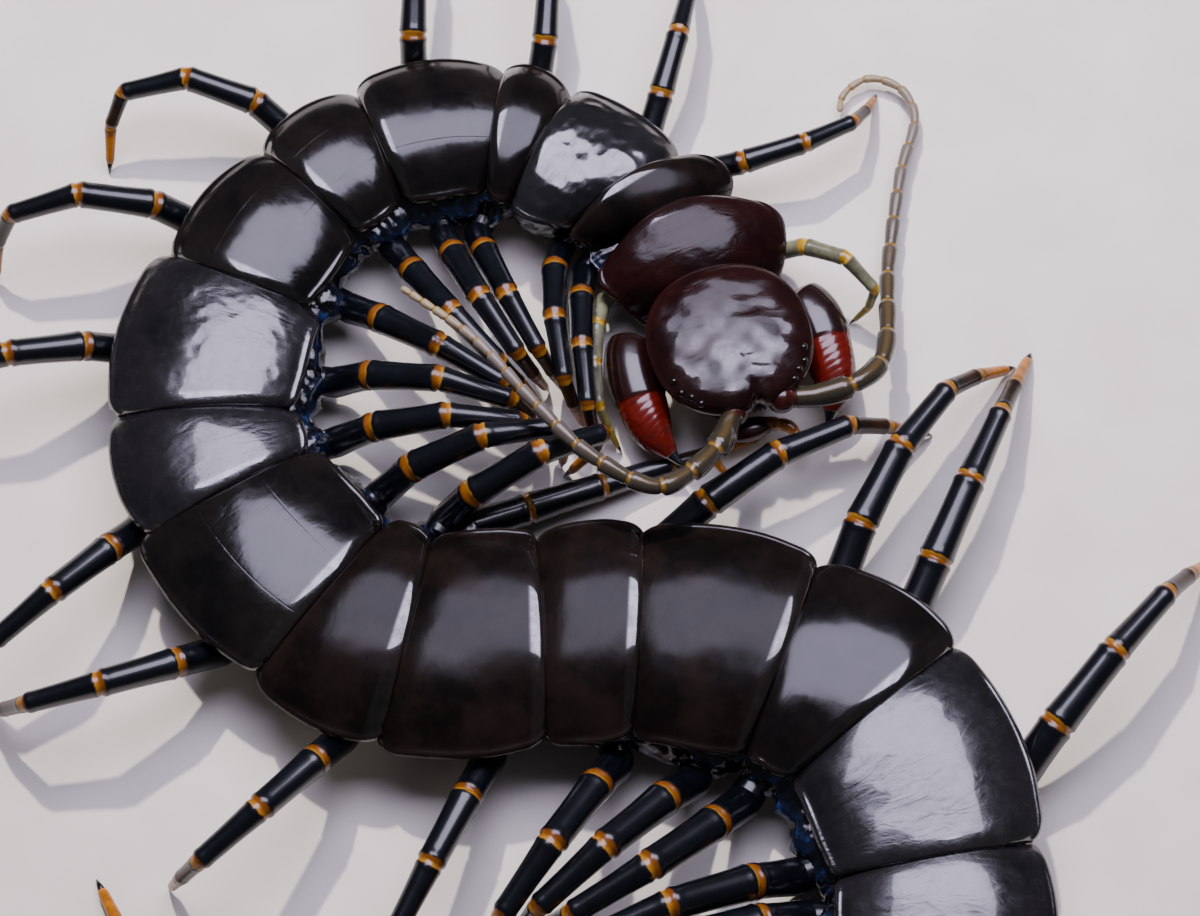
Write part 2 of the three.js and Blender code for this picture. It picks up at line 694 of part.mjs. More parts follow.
// A leg from its root on the flank to a small flat foot on the floor.
function leg(articles, size, root, outward, foot, lean) {
  const lengths = articles.map(([length]) => length * size);
  lengths.push(CLAW_LENGTH * Math.sqrt(size));
  const hip = root.clone().addScaledVector(outward, COXA_LENGTH * size);
  const chord = foot.clone().sub(hip);
  const reach = chord.length();
  const along = chord.clone().normalize();
  const level = new THREE.Vector3(-along.y, along.x, 0).normalize();
  const upright = new THREE.Vector3().crossVectors(along, level).negate();
  upright.multiplyScalar(Math.sign(upright.z));
  const bulge = upright.clone().multiplyScalar(Math.cos(lean * DEGREE));
  bulge.addScaledVector(level, Math.sin(lean * DEGREE));
  const across = new THREE.Vector3().crossVectors(along, bulge);
  const joints = arch(lengths, reach).map(({ x, y }) => {
    return hip.clone().addScaledVector(along, x).addScaledVector(bulge, y);
  });
  const rings = [];
  articles.forEach(([, near, far], index) => {
    const direction = joints[index + 1].clone().sub(joints[index]).normalize();
    const lift = new THREE.Vector3().crossVectors(across, direction);
    [[near, index ? 0.12 : 0.2], [far, 0.92]].forEach(([radius, share]) => {
      const round = radius * size;
      const place = joints[index].clone().lerp(joints[index + 1], share);
      place.z = Math.max(place.z, round + FOOT_RADIUS / 4);
      const wide = across.clone().multiplyScalar(round);
      rings.push(roundRing(place, wide, lift.clone().multiplyScalar(round), LEG_SIDES));
    });
  });
  // The first ring lies flat along the flank, and the last one flat on the floor.
  const coxaRadius = articles[0][1] * size * COXA_SHARE;
  rings.unshift(flatRing(root, outward, rings[0], coxaRadius));
  rings.push(flatRing(foot, new THREE.Vector3(0, 0, 1), rings[rings.length - 1], FOOT_RADIUS));
  return loft(rings);
}

const LAST_ROOT = { across: 4.0, height: 4.6 };

function addLegs() {
  LEGS.forEach(([size, ...feet], index) => {
    const segment = index + 1;
    for (const [name, side] of [['left', 1], ['right', -1]]) {
      const [x, y, lean, share] = feet[side > 0 ? 0 : 1];
      const half = trunkWidth(segment, share) / 2;
      const flank = 1.03 * flankShare(segment, share, side) * half + 1.5 * GAP;
      const root = planPlace(segment, share, side * flank).setZ(ROOT_HEIGHT);
      const outward = turned(trunk.headings[index] - 90 * side);
      const foot = new THREE.Vector3(x, y, 0);
      const solid = leg(WALKING_ARTICLES, size, root, outward, foot, lean);
      addNode(`leg_${name}_${String(segment).padStart(2, '0')}`, solid, COLOURS.leg);
    }
  });
  const last = SEGMENTS.length;
  const [size, ...feet] = LAST_LEGS;
  for (const [name, side] of [['left', 1], ['right', -1]]) {
    const [x, y, lean] = feet[side > 0 ? 0 : 1];
    const back = trunk.cuts[last];
    const root = back.place.clone().addScaledVector(back.left, side * LAST_ROOT.across);
    root.addScaledVector(back.along, GAP).setZ(LAST_ROOT.height);
    const foot = new THREE.Vector3(x, y, 0);
    const solid = leg(LAST_ARTICLES, size, root, back.along, foot, lean);
    addNode(`leg_${name}_${last}`, solid, COLOURS.leg);
  }
}

addHead();
addJawPlate();
addJaws();
addMouth();
addFeelers();
addTrunk();
addLegs();

// The animal's middle comes over the origin.
const box = new THREE.Box3().setFromObject(centipede);
const middle = box.getCenter(new THREE.Vector3());
centipede.children.forEach((mesh) => mesh.geometry.translate(-middle.x, -middle.y, 0));

export default centipede;
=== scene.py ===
# %% [markdown]
# # A giant centipede, finished in Blender
#
# The solids under this scene are a centipede cut into sixty plain pieces at their real size. This
# lesson dresses them: every plate, article and claw becomes a fine surface that is worked out with
# numpy from the same few sizes, and gets a finish made of shader nodes. Nothing is moved, because
# each surface is computed where its solid stands.

# %% Load the fixed frame
import math

import bpy
import numpy as np
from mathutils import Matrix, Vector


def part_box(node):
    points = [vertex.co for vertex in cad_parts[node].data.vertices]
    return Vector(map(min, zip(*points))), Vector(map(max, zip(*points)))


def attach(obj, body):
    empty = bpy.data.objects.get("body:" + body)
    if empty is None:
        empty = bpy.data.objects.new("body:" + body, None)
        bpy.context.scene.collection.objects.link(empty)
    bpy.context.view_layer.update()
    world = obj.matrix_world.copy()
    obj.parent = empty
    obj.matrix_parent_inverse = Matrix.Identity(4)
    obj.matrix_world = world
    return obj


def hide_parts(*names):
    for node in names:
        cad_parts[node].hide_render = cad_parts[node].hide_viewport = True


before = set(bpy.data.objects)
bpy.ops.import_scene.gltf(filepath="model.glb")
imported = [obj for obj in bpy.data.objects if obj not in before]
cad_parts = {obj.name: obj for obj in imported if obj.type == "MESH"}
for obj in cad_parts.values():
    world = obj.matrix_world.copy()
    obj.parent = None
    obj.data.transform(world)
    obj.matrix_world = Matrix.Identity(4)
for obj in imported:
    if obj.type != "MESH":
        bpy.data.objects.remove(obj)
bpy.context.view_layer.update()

# %% [markdown]
# ## The sizes that drive the animal
#
# All sizes are millimetres, as the animal was measured. The trunk is a chain of 21 segments. A row
# gives a segment's length, its width over the back plate, its turn from the one before and how many
# degrees its rear cut is skewed. The head and the legs hang on that chain, so a change here carries
# through to every piece. Each mesh could hold sizes of its own, but then no two pieces would be
# sure to fit.

# %% Driving sizes
MM = 0.001
RIM = 7.0
BACK = 9.6
BELLY = 1.6
FLANK, FLANK_SWING = 0.76, 0.011
LEAST_FLANK, MOST_FLANK, MOST_NECK_FLANK = 0.7, 1.05, 0.86
ROOT_HEIGHT = 3.3
NECK = np.array([9.7, 17.5])
NECK_HEADING = 106.0
NECK_SKEW = -9.0
HEAD_HEADING = NECK_HEADING + 180.0
HEAD_REACH = 7.3
SEGMENTS = np.array([
    [7.0, 18.2, 13, -18], [4.7, 15.8, 30, -23], [8.7, 15.4, 1, 0], [4.9, 14.3, 6, 0], [11.0, 14.2, 33, 0],
    [8.1, 13.9, 28, 0], [11.3, 14.8, 20, 0], [13.0, 17.4, 22, 0], [8.3, 17.2, 29, 0], [13.2, 19.0, 24, 0],
    [8.4, 20.2, 21, 0], [11.8, 21.0, 29, 0], [8.5, 20.8, 2, 0], [12.8, 20.8, -15, 0], [9.4, 20.0, -21, 0],
    [14.2, 19.5, -38, 0], [9.2, 18.6, -20, 0], [11.0, 17.6, -28, 0], [7.6, 16.4, -24, 0],
    [10.0, 14.8, -22, 0], [8.0, 12.4, -12, 0],
])
COUNT = len(SEGMENTS)
SIDES = (("left", 1), ("right", -1))
lengths, widths, turns, skews = SEGMENTS.T
print("the back is", round(lengths.sum(), 1), "mm long and", widths.max(), "mm wide")

# %% [markdown]
# ## Laying the chain on the floor
#
# Between two segments lies a cut that halves the angle between them. A place on the animal is then
# told by its segment, its share of that segment's length and its distance to the animal's left,
# and the sides of a segment bow a little so that the whole trunk bends smoothly. A curve modifier
# would bend a straight trunk too, but it squeezes the plates on the inside of the bend.

# %% The chain of segments


def turned(degrees):
    """Unit arrows in plan: cosine and sine of headings in degrees from +X towards +Y."""
    angle = np.radians(degrees)
    return np.stack([np.cos(angle), np.sin(angle)], -1)


headings = NECK_HEADING + np.cumsum(turns)
joints = NECK + np.concatenate([np.zeros((1, 2)), np.cumsum(lengths[:, None] * turned(headings), 0)])
heading_before = np.append(headings[0], headings)
heading_after = np.append(headings, headings[-1])
cut_turn = heading_after - heading_before
cut_heading = (heading_before + heading_after) / 2 + np.append(NECK_SKEW, skews)
cut_along = turned(cut_heading)
cut_left = turned(cut_heading - 90) / np.cos(np.radians(cut_turn / 2))[:, None]


def plan(segment, share, across):
    """Places in plan: along the straight line between the same distance across the front cut and
    the rear cut, pushed to the left by half the turn times the length times share x (1 - share)."""
    start = joints[segment] + cut_left[segment] * across[..., None]
    end = joints[segment + 1] + cut_left[segment + 1] * across[..., None]
    size = np.linalg.norm(end - start, axis=-1)
    bend = np.radians((cut_turn[segment] + cut_turn[segment + 1]) / 2)
    bow = size * bend * 0.5 * share * (1 - share)
    return start + (end - start) * share[..., None] + bow[..., None] * turned(headings[segment] - 90)


def body_width(segment, share):
    """The width of the body: a segment's own in its middle, the mean of two neighbours where they
    meet, and an even change between."""
    before = widths[np.maximum(segment - 1, 0)]
    after = widths[np.minimum(segment + 1, COUNT - 1)]
    other = np.where(np.asarray(share) < 0.5, before, after)
    return widths[segment] + (other - widths[segment]) * np.abs(share - 0.5)


def flank_share(segment, share, side):
    """How far the soft flank stands out as a share of the half-width: 0.76, pushed out by 0.011 for
    each degree of the bend on its inner side and drawn in on the outer side, within limits that
    are closer on the neck."""
    turn = cut_turn[segment] + (cut_turn[segment + 1] - cut_turn[segment]) * share
    most = np.where(segment > 2, MOST_FLANK, MOST_NECK_FLANK)
    return np.clip(FLANK - side * FLANK_SWING * turn, LEAST_FLANK, most)


print("the tail ends at", joints[-1].round(1))

# %% [markdown]
# ## Where the head lies
#
# The head is told in places to its left, forward and up from the middle of its shield, because that
# is how one draws a head. The plate under the jaws is an outline in those terms. Its corners also
# say where the animal's own plan lies in the fixed frame, so that nothing has to be fitted by hand.

# %% The head's own directions
head_left = np.append(turned(HEAD_HEADING + 90), 0)
head_forward = np.append(turned(HEAD_HEADING), 0)
head_middle = np.append(NECK + turned(HEAD_HEADING) * HEAD_REACH, 0)


def on_head(places):
    """Turns places given as left, forward and up from the head's middle into the animal's plan."""
    places = np.asarray(places, float)
    up = places[..., 2:] * [0, 0, 1]
    return head_middle + places[..., :1] * head_left + places[..., 1:2] * head_forward + up


JAW_PLATE = np.array([
    [4.6, -5.0], [5.5, -4.2], [5.7, -1.0], [5.6, 1.0], [4.8, 3.2], [2.4, 5.0],
    [-2.4, 5.0], [-4.8, 3.2], [-5.6, 1.0], [-5.7, -1.0], [-5.5, -4.2], [-4.6, -5.0],
])
plate_corners = on_head(np.pad(JAW_PLATE, ((0, 0), (0, 1))))
box_low, box_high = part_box("jaw_plate")
to_frame = np.array([
    box_low.x / MM - plate_corners[:, 0].min(),
    box_high.y / MM - plate_corners[:, 1].max(),
    0,
])
print("the animal's plan is moved by", to_frame.round(3), "mm")

# %% [markdown]
# ## From arrays to meshes
#
# Modelling by hand would take days for forty-two legs. A surface here is a table of points instead:
# rows along it and columns round it. The helpers below join neighbouring points with quads, close
# the two ends with a pole, turn the whole right side out and hand it to Blender in one go. Numbers
# that follow the surface, such as the distance to the nearest joint, go along as attributes, so
# that a finish can read them later.

# %% Helpers that make a mesh
FAR_INLAND = 2.0


def grid_quads(index):
    """Quads between the neighbouring rows and columns of a table of point numbers."""
    return np.stack([index[:-1, :-1], index[:-1, 1:], index[1:, 1:], index[1:, :-1]], -1).reshape(-1, 4)


def tube(rings, marks):
    """A closed surface through a row of rings. Each end is a fan of triangles round a pole in the
    middle of its ring. Marks are numbers for each row, or for each point."""
    rows, columns = rings.shape[:2]
    index = np.arange(rows * columns).reshape(rows, columns)
    index = np.concatenate([index, index[:, :1]], 1)
    fans = []
    for end, pole, order in ((0, rows * columns, 1), (-1, rows * columns + 1, -1)):
        fan = [index[end, 1:], index[end, :-1], np.full(columns, pole)]
        fans.append(np.stack(fan, 1)[:, ::order])
    points = np.concatenate([rings.reshape(-1, 3), rings[[0, -1]].mean(1)])
    values = {}
    for name, mark in marks.items():
        mark = np.asarray(mark, float)
        table = np.broadcast_to(mark[:, None] if mark.ndim == 1 else mark, (rows, columns))
        values[name] = np.concatenate([table.ravel(), table[[0, -1]].mean(1)])
    return points, grid_quads(index), np.concatenate(fans), values


def inland(rings):
    """The marks of a small piece of horn that has no margin: all far from any edge."""
    return {name: np.full(rings.shape[:2], FAR_INLAND) for name in ("edge", "across", "aside", "run")}


def shell(top, under, marks):
    """A thin closed plate from two tables of points that share their border."""
    rows, columns = top.shape[:2]
    upper = np.arange(rows * columns).reshape(rows, columns)
    inner = np.zeros((rows, columns), bool)
    inner[1:-1, 1:-1] = True
    lower = upper.copy()
    lower[inner] = rows * columns + np.arange(inner.sum())
    points = np.concatenate([top.reshape(-1, 3), under[inner]])
    quads = np.concatenate([grid_quads(upper), grid_quads(lower)[:, ::-1]])
    values = {name: np.concatenate([mark.ravel(), mark[inner]]) for name, mark in marks.items()}
    return points, quads, np.zeros((0, 3), int), values


def quarter_circle(value):
    """Zero at 0 and one from 1 on, rising steeply at first: the root of 1 - (1 - v) squared."""
    return np.sqrt(1 - np.clip(1 - value, 0, 1) ** 2)


def thin_plate(centre, middle, edge, half_thickness, marks):
    """A closed plate whose faces lie half its thickness above and below the middle heights. Near
    the border that half shrinks to nothing along a quarter circle."""
    depth = quarter_circle(edge / half_thickness) * half_thickness
    faces = [np.concatenate([centre, height[..., None]], -1) for height in (middle + depth, middle - depth)]
    return shell(*faces, marks)


# %% A helper that adds a piece


def outwards(surface):
    """The same surface with its faces turned out: its volume, summed over the faces, is positive."""
    points, quads, triangles, values = surface
    fans = np.concatenate([quads[:, [0, 1, 2]], quads[:, [0, 2, 3]], triangles])
    a, b, c = points[fans[:, 0]], points[fans[:, 1]], points[fans[:, 2]]
    if np.einsum("ij,ij->", a - points[0], np.cross(b - points[0], c - points[0])) < 0:
        quads, triangles = quads[:, ::-1], triangles[:, ::-1]
    return points, quads, triangles, values


def add_piece(name, surfaces, finish, nodes):
    """Makes one smooth mesh of some closed surfaces and lets it stand for the named solids."""
    surfaces = [outwards(surface) for surface in surfaces]
    starts = np.cumsum([0] + [len(surface[0]) for surface in surfaces])
    points = np.concatenate([surface[0] for surface in surfaces])
    faces = []
    for start, (_, quads, triangles, _) in zip(starts, surfaces):
        faces += (quads + start).tolist() + (triangles + start).tolist()
    mesh = bpy.data.meshes.new(name)
    mesh.from_pydata(((points + to_frame) * MM).tolist(), [], faces)
    mesh.polygons.foreach_set("use_smooth", np.ones(len(faces), bool))
    for key in surfaces[0][3]:
        values = np.concatenate([surface[3][key] for surface in surfaces])
        mesh.attributes.new(key, "FLOAT", "POINT").data.foreach_set("value", values.astype(np.float32))
    mesh.materials.append(finish)
    mesh.update()
    piece = bpy.data.objects.new(name, mesh)
    bpy.context.scene.collection.objects.link(piece)
    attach(piece, "root")
    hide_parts(*nodes)
    return piece


# %% [markdown]
# ## Shapes that come back everywhere
#
# A living surface is never quite even. The unevenness here is a sum of plane waves in seeded random
# directions, which costs one matrix product and gives the same result on every run; a displace
# modifier would do it too, but can't be measured in the script. The other helpers are a soft step,
# a bell and a sweep, which carries a round section along a bent line.

# %% Helpers that shape a surface
WAVES = 14


def soft_step(value):
    """Zero below 0, one above 1 and a smooth rise between: 3 v squared minus 2 v cubed."""
    value = np.clip(value, 0, 1)
    return value * value * (3 - 2 * value)


def bell(value, width):
    """One at zero and falling off on both sides: e to the minus (value / width) squared."""
    return np.exp(-np.square(value / width))


def unit(arrows):
    """Arrows brought to length one."""
    return arrows / np.linalg.norm(arrows, axis=-1, keepdims=True)


def full_turn(columns):
    """Angles evenly spread over one full turn."""
    return np.arange(columns) / columns * 2 * math.pi


def ripple(points, size, seed):
    """Smooth random heights of about -2 to 2: the sum of plane waves of about the given length,
    each with a seeded heading and phase, over the square root of half their number."""
    draw = np.random.default_rng(seed)
    way = unit(draw.normal(size=(WAVES, 3))) * 2 * math.pi / size * draw.uniform(0.6, 1.5, (WAVES, 1))
    return np.sin(points @ way.T + draw.uniform(0, 2 * math.pi, WAVES)).sum(-1) / math.sqrt(WAVES / 2)


def sweep(centre, along, across, wide, high, columns):
    """Rings square to a line: centre + side x wide x cos(angle) + lift x high x sin(angle). Across
    says where the side lies, and wide and high are numbers for each row, or for each point."""
    side = unit(across - (along * across).sum(-1, keepdims=True) * along)
    lift = np.cross(along, side)
    angle = full_turn(columns)
    wide, high = (np.broadcast_to(np.atleast_2d(size.T).T, (len(centre), columns)) for size in (wide, high))
    return (centre[:, None] + side[:, None] * (wide * np.cos(angle))[..., None]
            + lift[:, None] * (high * np.sin(angle))[..., None])


# %% Helpers for lines


def smooth_line(places, steps=40):
    """A curve through the places (centripetal Catmull-Rom): each stretch is the cubic whose slopes
    at both ends come from the neighbouring places, weighed by the root of their distances."""
    places = np.asarray(places, float)
    places = np.concatenate([[2 * places[0] - places[1]], places, [2 * places[-1] - places[-2]]])
    p0, p1, p2, p3 = (places[start:len(places) - 3 + start] for start in range(4))
    d0, d1, d2 = (np.sqrt(np.linalg.norm((b - a)[:, :3], axis=1))[:, None]
                  for a, b in ((p0, p1), (p1, p2), (p2, p3)))
    slope1 = ((p1 - p0) / d0 - (p2 - p0) / (d0 + d1) + (p2 - p1) / d1) * d1
    slope2 = ((p2 - p1) / d1 - (p3 - p1) / (d1 + d2) + (p3 - p2) / d2) * d1
    t = (np.arange(steps) / steps)[:, None, None]
    curve = (p1 + slope1 * t + (3 * p2 - 3 * p1 - 2 * slope1 - slope2) * t ** 2
             + (2 * p1 - 2 * p2 + slope1 + slope2) * t ** 3)
    return np.concatenate([curve.transpose(1, 0, 2).reshape(-1, places.shape[1]), p2[-1:]])


def distances(line):
    """How far along a line each of its points lies."""
    return np.append(0, np.cumsum(np.linalg.norm(np.diff(line[:, :3], axis=0), axis=1)))


def rounded(line, at, reach):
    """Places and directions at distances along a bent line whose corners are rounded off: the mean
    of the line over a short reach on both sides, and the arrow between that reach's two ends."""
    measured = distances(line)
    offsets = np.linspace(-1, 1, 9)[:, None] * reach
    spots = np.stack([np.interp(at + offsets, measured, line[:, axis]) for axis in range(3)], -1)
    weights = np.array([1, 2, 3, 4, 4, 4, 3, 2, 1])[:, None, None]
    return (spots * weights).sum(0) / weights.sum(), unit(spots[-1] - spots[0])


# %% [markdown]
# ## Building a finish from nodes
#
# Nodes can be placed by hand in the shader editor. Written as code, a finish can be read from top to
# bottom and used for many pieces, so every finish below starts from a bare tree and one helper that
# adds a node together with its settings and links. Colours are written as sRGB hex values and
# turned to linear in one place, and a pattern's scale is worked out from its real size on the
# animal.

# %% Helpers that build a finish


def linear(code):
    """A linear colour from an sRGB hex value: ((c + 0.055) / 1.055) to the power 2.4, and c / 12.92
    for the darkest tones."""
    tones = [int(code[start:start + 2], 16) / 255 for start in (1, 3, 5)]
    return [t / 12.92 if t <= 0.04045 else ((t + 0.055) / 1.055) ** 2.4 for t in tones] + [1.0]


def per(size):
    """The scale of a pattern whose features are this many millimetres across."""
    return 1 / (size * MM)


def add(tree, kind, inputs=None, stops=None, **settings):
    """Adds a node: settings are its own options, inputs are values or the sockets that feed it, and
    stops are the places and colours of a ramp."""
    made = tree.nodes.new("ShaderNode" + kind)
    for key, value in settings.items():
        setattr(made, key, value)
    for key, value in (inputs or {}).items():
        if isinstance(value, bpy.types.NodeSocket):
            tree.links.new(value, made.inputs[key])
        else:
            made.inputs[key].default_value = value
    if stops:
        elements = made.color_ramp.elements
        while len(elements) < len(stops):
            elements.new(1.0)
        for element, (place, code) in zip(elements, stops):
            element.position = place
            element.color = linear(code)
    return made


def blank_finish(name):
    """A new finish with an empty tree, and the places on the object that its patterns follow."""
    finish = bpy.data.materials.new(name)
    finish.use_nodes = True
    tree = finish.node_tree
    tree.nodes.clear()
    return finish, tree, add(tree, "TexCoord").outputs["Object"]


def mark(tree, name):
    """The socket of a number that the mesh carries."""
    return add(tree, "Attribute", attribute_name=name).outputs["Fac"]


# %% [markdown]
# ## The black back plates
#
# A centipede's back plate is horn: hard, sclerotised cuticle, grown in thin sheets and waxed by the
# animal itself. It is nearly black with a breath of brown, bright where it is clean and cloudy
# where it is scuffed. The thin margins let a little brown light through, and two hair-fine sutures
# run along some plates. An image could be wrapped on, but noise on object coordinates needs no
# unwrapping and holds at any distance. The gloss has two layers: the horn's own, and a clear film
# that is thick on the rubbed lip at the rear of a plate, so that the lip flashes. Broad dents are
# in the mesh, and only what is finer is bump.

# %% Finish of the back plates


def plate_finish(name, dark, warm, margin, gloss, film, shine=0.5, crumple=0.1, suture=0.0):
    """Glossy horn: two clouded tones, a lighter margin, scuffs in the gloss, creases, sutures at a
    third of the half-width and a thicker clear film on the polished lip. Gloss is the roughness of
    clean and of scuffed horn, film the weight of the coat away from the lip, and shine the strength
    of the horn's own gloss."""
    finish, tree, place = blank_finish(name)
    cloud = add(tree, "TexNoise", {"Vector": place, "Scale": per(5.0), "Detail": 4.0, "Roughness": 0.6})
    tone = add(tree, "ValToRGB", {"Fac": cloud.outputs["Fac"]}, [(0.38, dark), (0.66, warm)])
    edge = add(tree, "MapRange", {"Value": mark(tree, "edge"), "From Min": 0.05, "From Max": 0.5,
                                  "To Min": 0.6, "To Max": 0.0})
    colour = add(tree, "Mix", {0: edge.outputs[0], 6: tone.outputs["Color"], 7: linear(margin)},
                 data_type="RGBA")
    scuff = add(tree, "TexNoise", {"Vector": place, "Scale": per(1.6), "Detail": 6.0, "Roughness": 0.7,
                                   "Distortion": 0.6})
    rough = add(tree, "MapRange", {"Value": scuff.outputs["Fac"], "From Min": 0.35, "From Max": 0.7,
                                   "To Min": gloss[0], "To Max": gloss[1]})
    sheet = add(tree, "CombineXYZ", {"X": mark(tree, "aside"), "Y": mark(tree, "run"), "Z": 0.0})
    turn = add(tree, "Mapping", {"Vector": sheet.outputs[0], "Rotation": (0.0, 0.0, 0.5),
                                 "Scale": (0.4, 1.0, 1.0)})
    crease = add(tree, "TexNoise", {"Vector": turn.outputs[0], "Scale": 0.7, "Detail": 4.0,
                                    "Roughness": 0.55, "Distortion": 1.0})
    grain = add(tree, "TexNoise", {"Vector": place, "Scale": per(0.16), "Detail": 2.0})
    first = add(tree, "Bump", {"Strength": crumple, "Distance": 0.16 * MM, "Height": crease.outputs["Fac"]})
    second = add(tree, "Bump", {"Strength": 0.2, "Distance": 0.01 * MM, "Height": grain.outputs["Fac"],
                                "Normal": first.outputs[0]})
    if suture:
        across = add(tree, "Math", {0: mark(tree, "across")}, operation="ABSOLUTE")
        off = add(tree, "Math", {0: across.outputs[0], 1: 0.33}, operation="SUBTRACT")
        far = add(tree, "Math", {0: off.outputs[0]}, operation="ABSOLUTE")
        line = add(tree, "MapRange", {"Value": far.outputs[0], "From Min": 0.0, "From Max": 0.012})
        second = add(tree, "Bump", {"Strength": suture, "Distance": 0.04 * MM, "Height": line.outputs[0],
                                    "Normal": second.outputs[0]})
    coated = add(tree, "MapRange", {"Value": mark(tree, "lip"), "To Min": film, "To Max": 1.0})
    patchy = add(tree, "MapRange", {"Value": scuff.outputs["Fac"], "From Min": 0.35, "From Max": 0.6,
                                    "To Min": 0.5, "To Max": 1.0})
    coat = add(tree, "Math", {0: coated.outputs[0], 1: patchy.outputs[0]}, operation="MULTIPLY")
    shader = add(tree, "BsdfPrincipled", {
        "Base Color": colour.outputs[2], "Roughness": rough.outputs[0], "IOR": 1.56,
        "Specular IOR Level": shine, "Coat Weight": coat.outputs[0], "Coat Roughness": 0.06,
        "Coat IOR": 2.0, "Normal": second.outputs[0],
    })
    add(tree, "OutputMaterial", {"Surface": shader.outputs[0]})
    return finish


# %% Six sorts of horn
clean_horn = plate_finish("clean_black_horn", "#070607", "#120e0d", "#1a1210", (0.13, 0.22), 0.06,
                          0.28)
lined_horn = plate_finish("lined_black_horn", "#070607", "#13100f", "#1a1210", (0.13, 0.24), 0.08, 0.35,
                          0.2, 0.25)
worn_horn = plate_finish("worn_black_horn", "#0a090c", "#171519", "#201b1d", (0.2, 0.32), 0.34,
                         0.7, 0.45)
crumpled_horn = plate_finish("crumpled_black_horn", "#09090b", "#141418", "#201b1c", (0.16, 0.28), 0.5,
                             0.7, 0.6)
smooth_horn = plate_finish("smooth_brown_horn", "#0a0807", "#191210", "#1c130f", (0.18, 0.26), 0.0,
                           0.13, 0.1)
maroon_horn = plate_finish("maroon_horn", "#120506", "#1f0b0a", "#260f0c", (0.18, 0.3), 0.03, 0.2, 0.5)
print("a horn finish has", len(clean_horn.node_tree.nodes), "nodes")

# %% [markdown]
# ## The shape of a back plate
#
# A plate is arched across, starts low under the plate in front, rises and rolls down at its rear
# over the next one. A thin bead runs along its sides. It could be sculpted, but then twenty-one
# plates would have to be sculpted alike. One grid gives the upper face, a second one the lower
# face, and both share a border that is rounded to half the plate's thickness. The grid is denser
# near the border, because sine spacing puts points where the curvature is.

# %% The shape of a plate
HALF_THICKNESS = 0.17
ARCH_POWER = 2.3
NECK_SQUEEZE, TRUNK_SQUEEZE = 0.13, 0.05
ROLL_DEPTH, ROLL_LENGTH = 0.42, 1.5
BEAD_HEIGHT = 0.09
LIP_LENGTH = 1.3
FRONT_LAP, REAR_LAP, NECK_LAP = 0.8, 0.15, 2.4
ROWS, COLUMNS = 81, 101


def arch_height(across):
    """Height over the rim: the height of the arch x (1 - |across| to the power 2.3)."""
    return (BACK - RIM) * (1 - np.abs(across) ** ARCH_POWER)


def first_dip(segment, share):
    """How far the neck dips towards the head: 1 + 0.65 x (1 - share) to the 1.2 on the first
    segment, and 1 - share on the second."""
    left = np.clip(1 - share, 0, 2)
    return np.select([segment == 0, segment == 1], [1 + 0.65 * left ** 1.2, left], 0.0)


def plate_half_width(segment, share, run, left_over, corner):
    """Half the width of a plate: the segment's own, drawn in towards the front and a little towards
    the rear, less a quarter circle at each corner."""
    squeeze = NECK_SQUEEZE if segment < 7 else TRUNK_SQUEEZE
    narrow = squeeze * np.clip(1 - share / 0.5, 0, 1.3) ** 1.7 + 0.05 * soft_step((share - 0.6) / 0.4)
    rounded_off = 1 - quarter_circle(left_over / corner)
    rounded_in = 1 - quarter_circle((run - 0.4) / 1.8)
    return widths[segment] / 2 * (1 - narrow) - 0.75 * corner * rounded_off - 1.2 * rounded_in


def back_plate(segment, front, corner, bowed, dented):
    """The closed surface of one plate. It starts low at its front, rises over its length and rolls
    down at its rear by a quarter circle, with a bead along its sides and shallow seeded dents. A
    bowed plate is shorter at its sides by that share, and a dented one is crumpled as well. The lip
    mark is one on the rear lip and 0.4 on the bead, where a thicker film lies on the horn."""
    length = lengths[segment] + front + REAR_LAP
    across = np.sin(np.linspace(-1, 1, COLUMNS) * math.pi / 2)
    run = (1 - np.cos(np.linspace(0, 1, ROWS) * math.pi)) / 2 * length
    across, run = np.meshgrid(across, run)
    left_over = length - run
    share = (run - front) / lengths[segment]
    share = np.where(share > 0, share * (1 - bowed * np.abs(across) ** 3), share)
    half = plate_half_width(segment, share, run, left_over, corner)
    centre = plan(segment, share, across * half)
    side_edge = (1 - np.abs(across)) * half
    edge = np.minimum(np.minimum(run, left_over), side_edge)
    height = RIM + arch_height(across) + 0.1 - 0.7 * np.clip(1 - share / 0.6, 0, 1.3) ** 3
    height -= first_dip(segment, share)
    height -= ROLL_DEPTH * (1 - quarter_circle(left_over / ROLL_LENGTH))
    flat = np.concatenate([centre, height[..., None]], -1)
    dents = 0.03 * ripple(flat, 8.0, segment) + 0.006 * ripple(flat, 2.6, 100 + segment)
    crushed = 0.02 * (dented - 1) * (1 - np.abs(ripple(flat, 2.2, 200 + segment)))
    height += (dents * min(dented, 1.5) + crushed) * soft_step(edge / 1.8)
    side_bead = bell(side_edge - 0.3, 0.2) - 0.5 * bell(side_edge - 0.8, 0.34)
    height += BEAD_HEIGHT * side_bead * soft_step((share - 0.05) / 0.2)
    lip = np.maximum(soft_step((LIP_LENGTH - left_over) / 0.3), 0.4 * bell(side_edge - 0.3, 0.3))
    marks = {"edge": edge, "across": across, "aside": across * half, "run": run, "lip": lip}
    return thin_plate(centre, height - HALF_THICKNESS, edge, HALF_THICKNESS, marks)


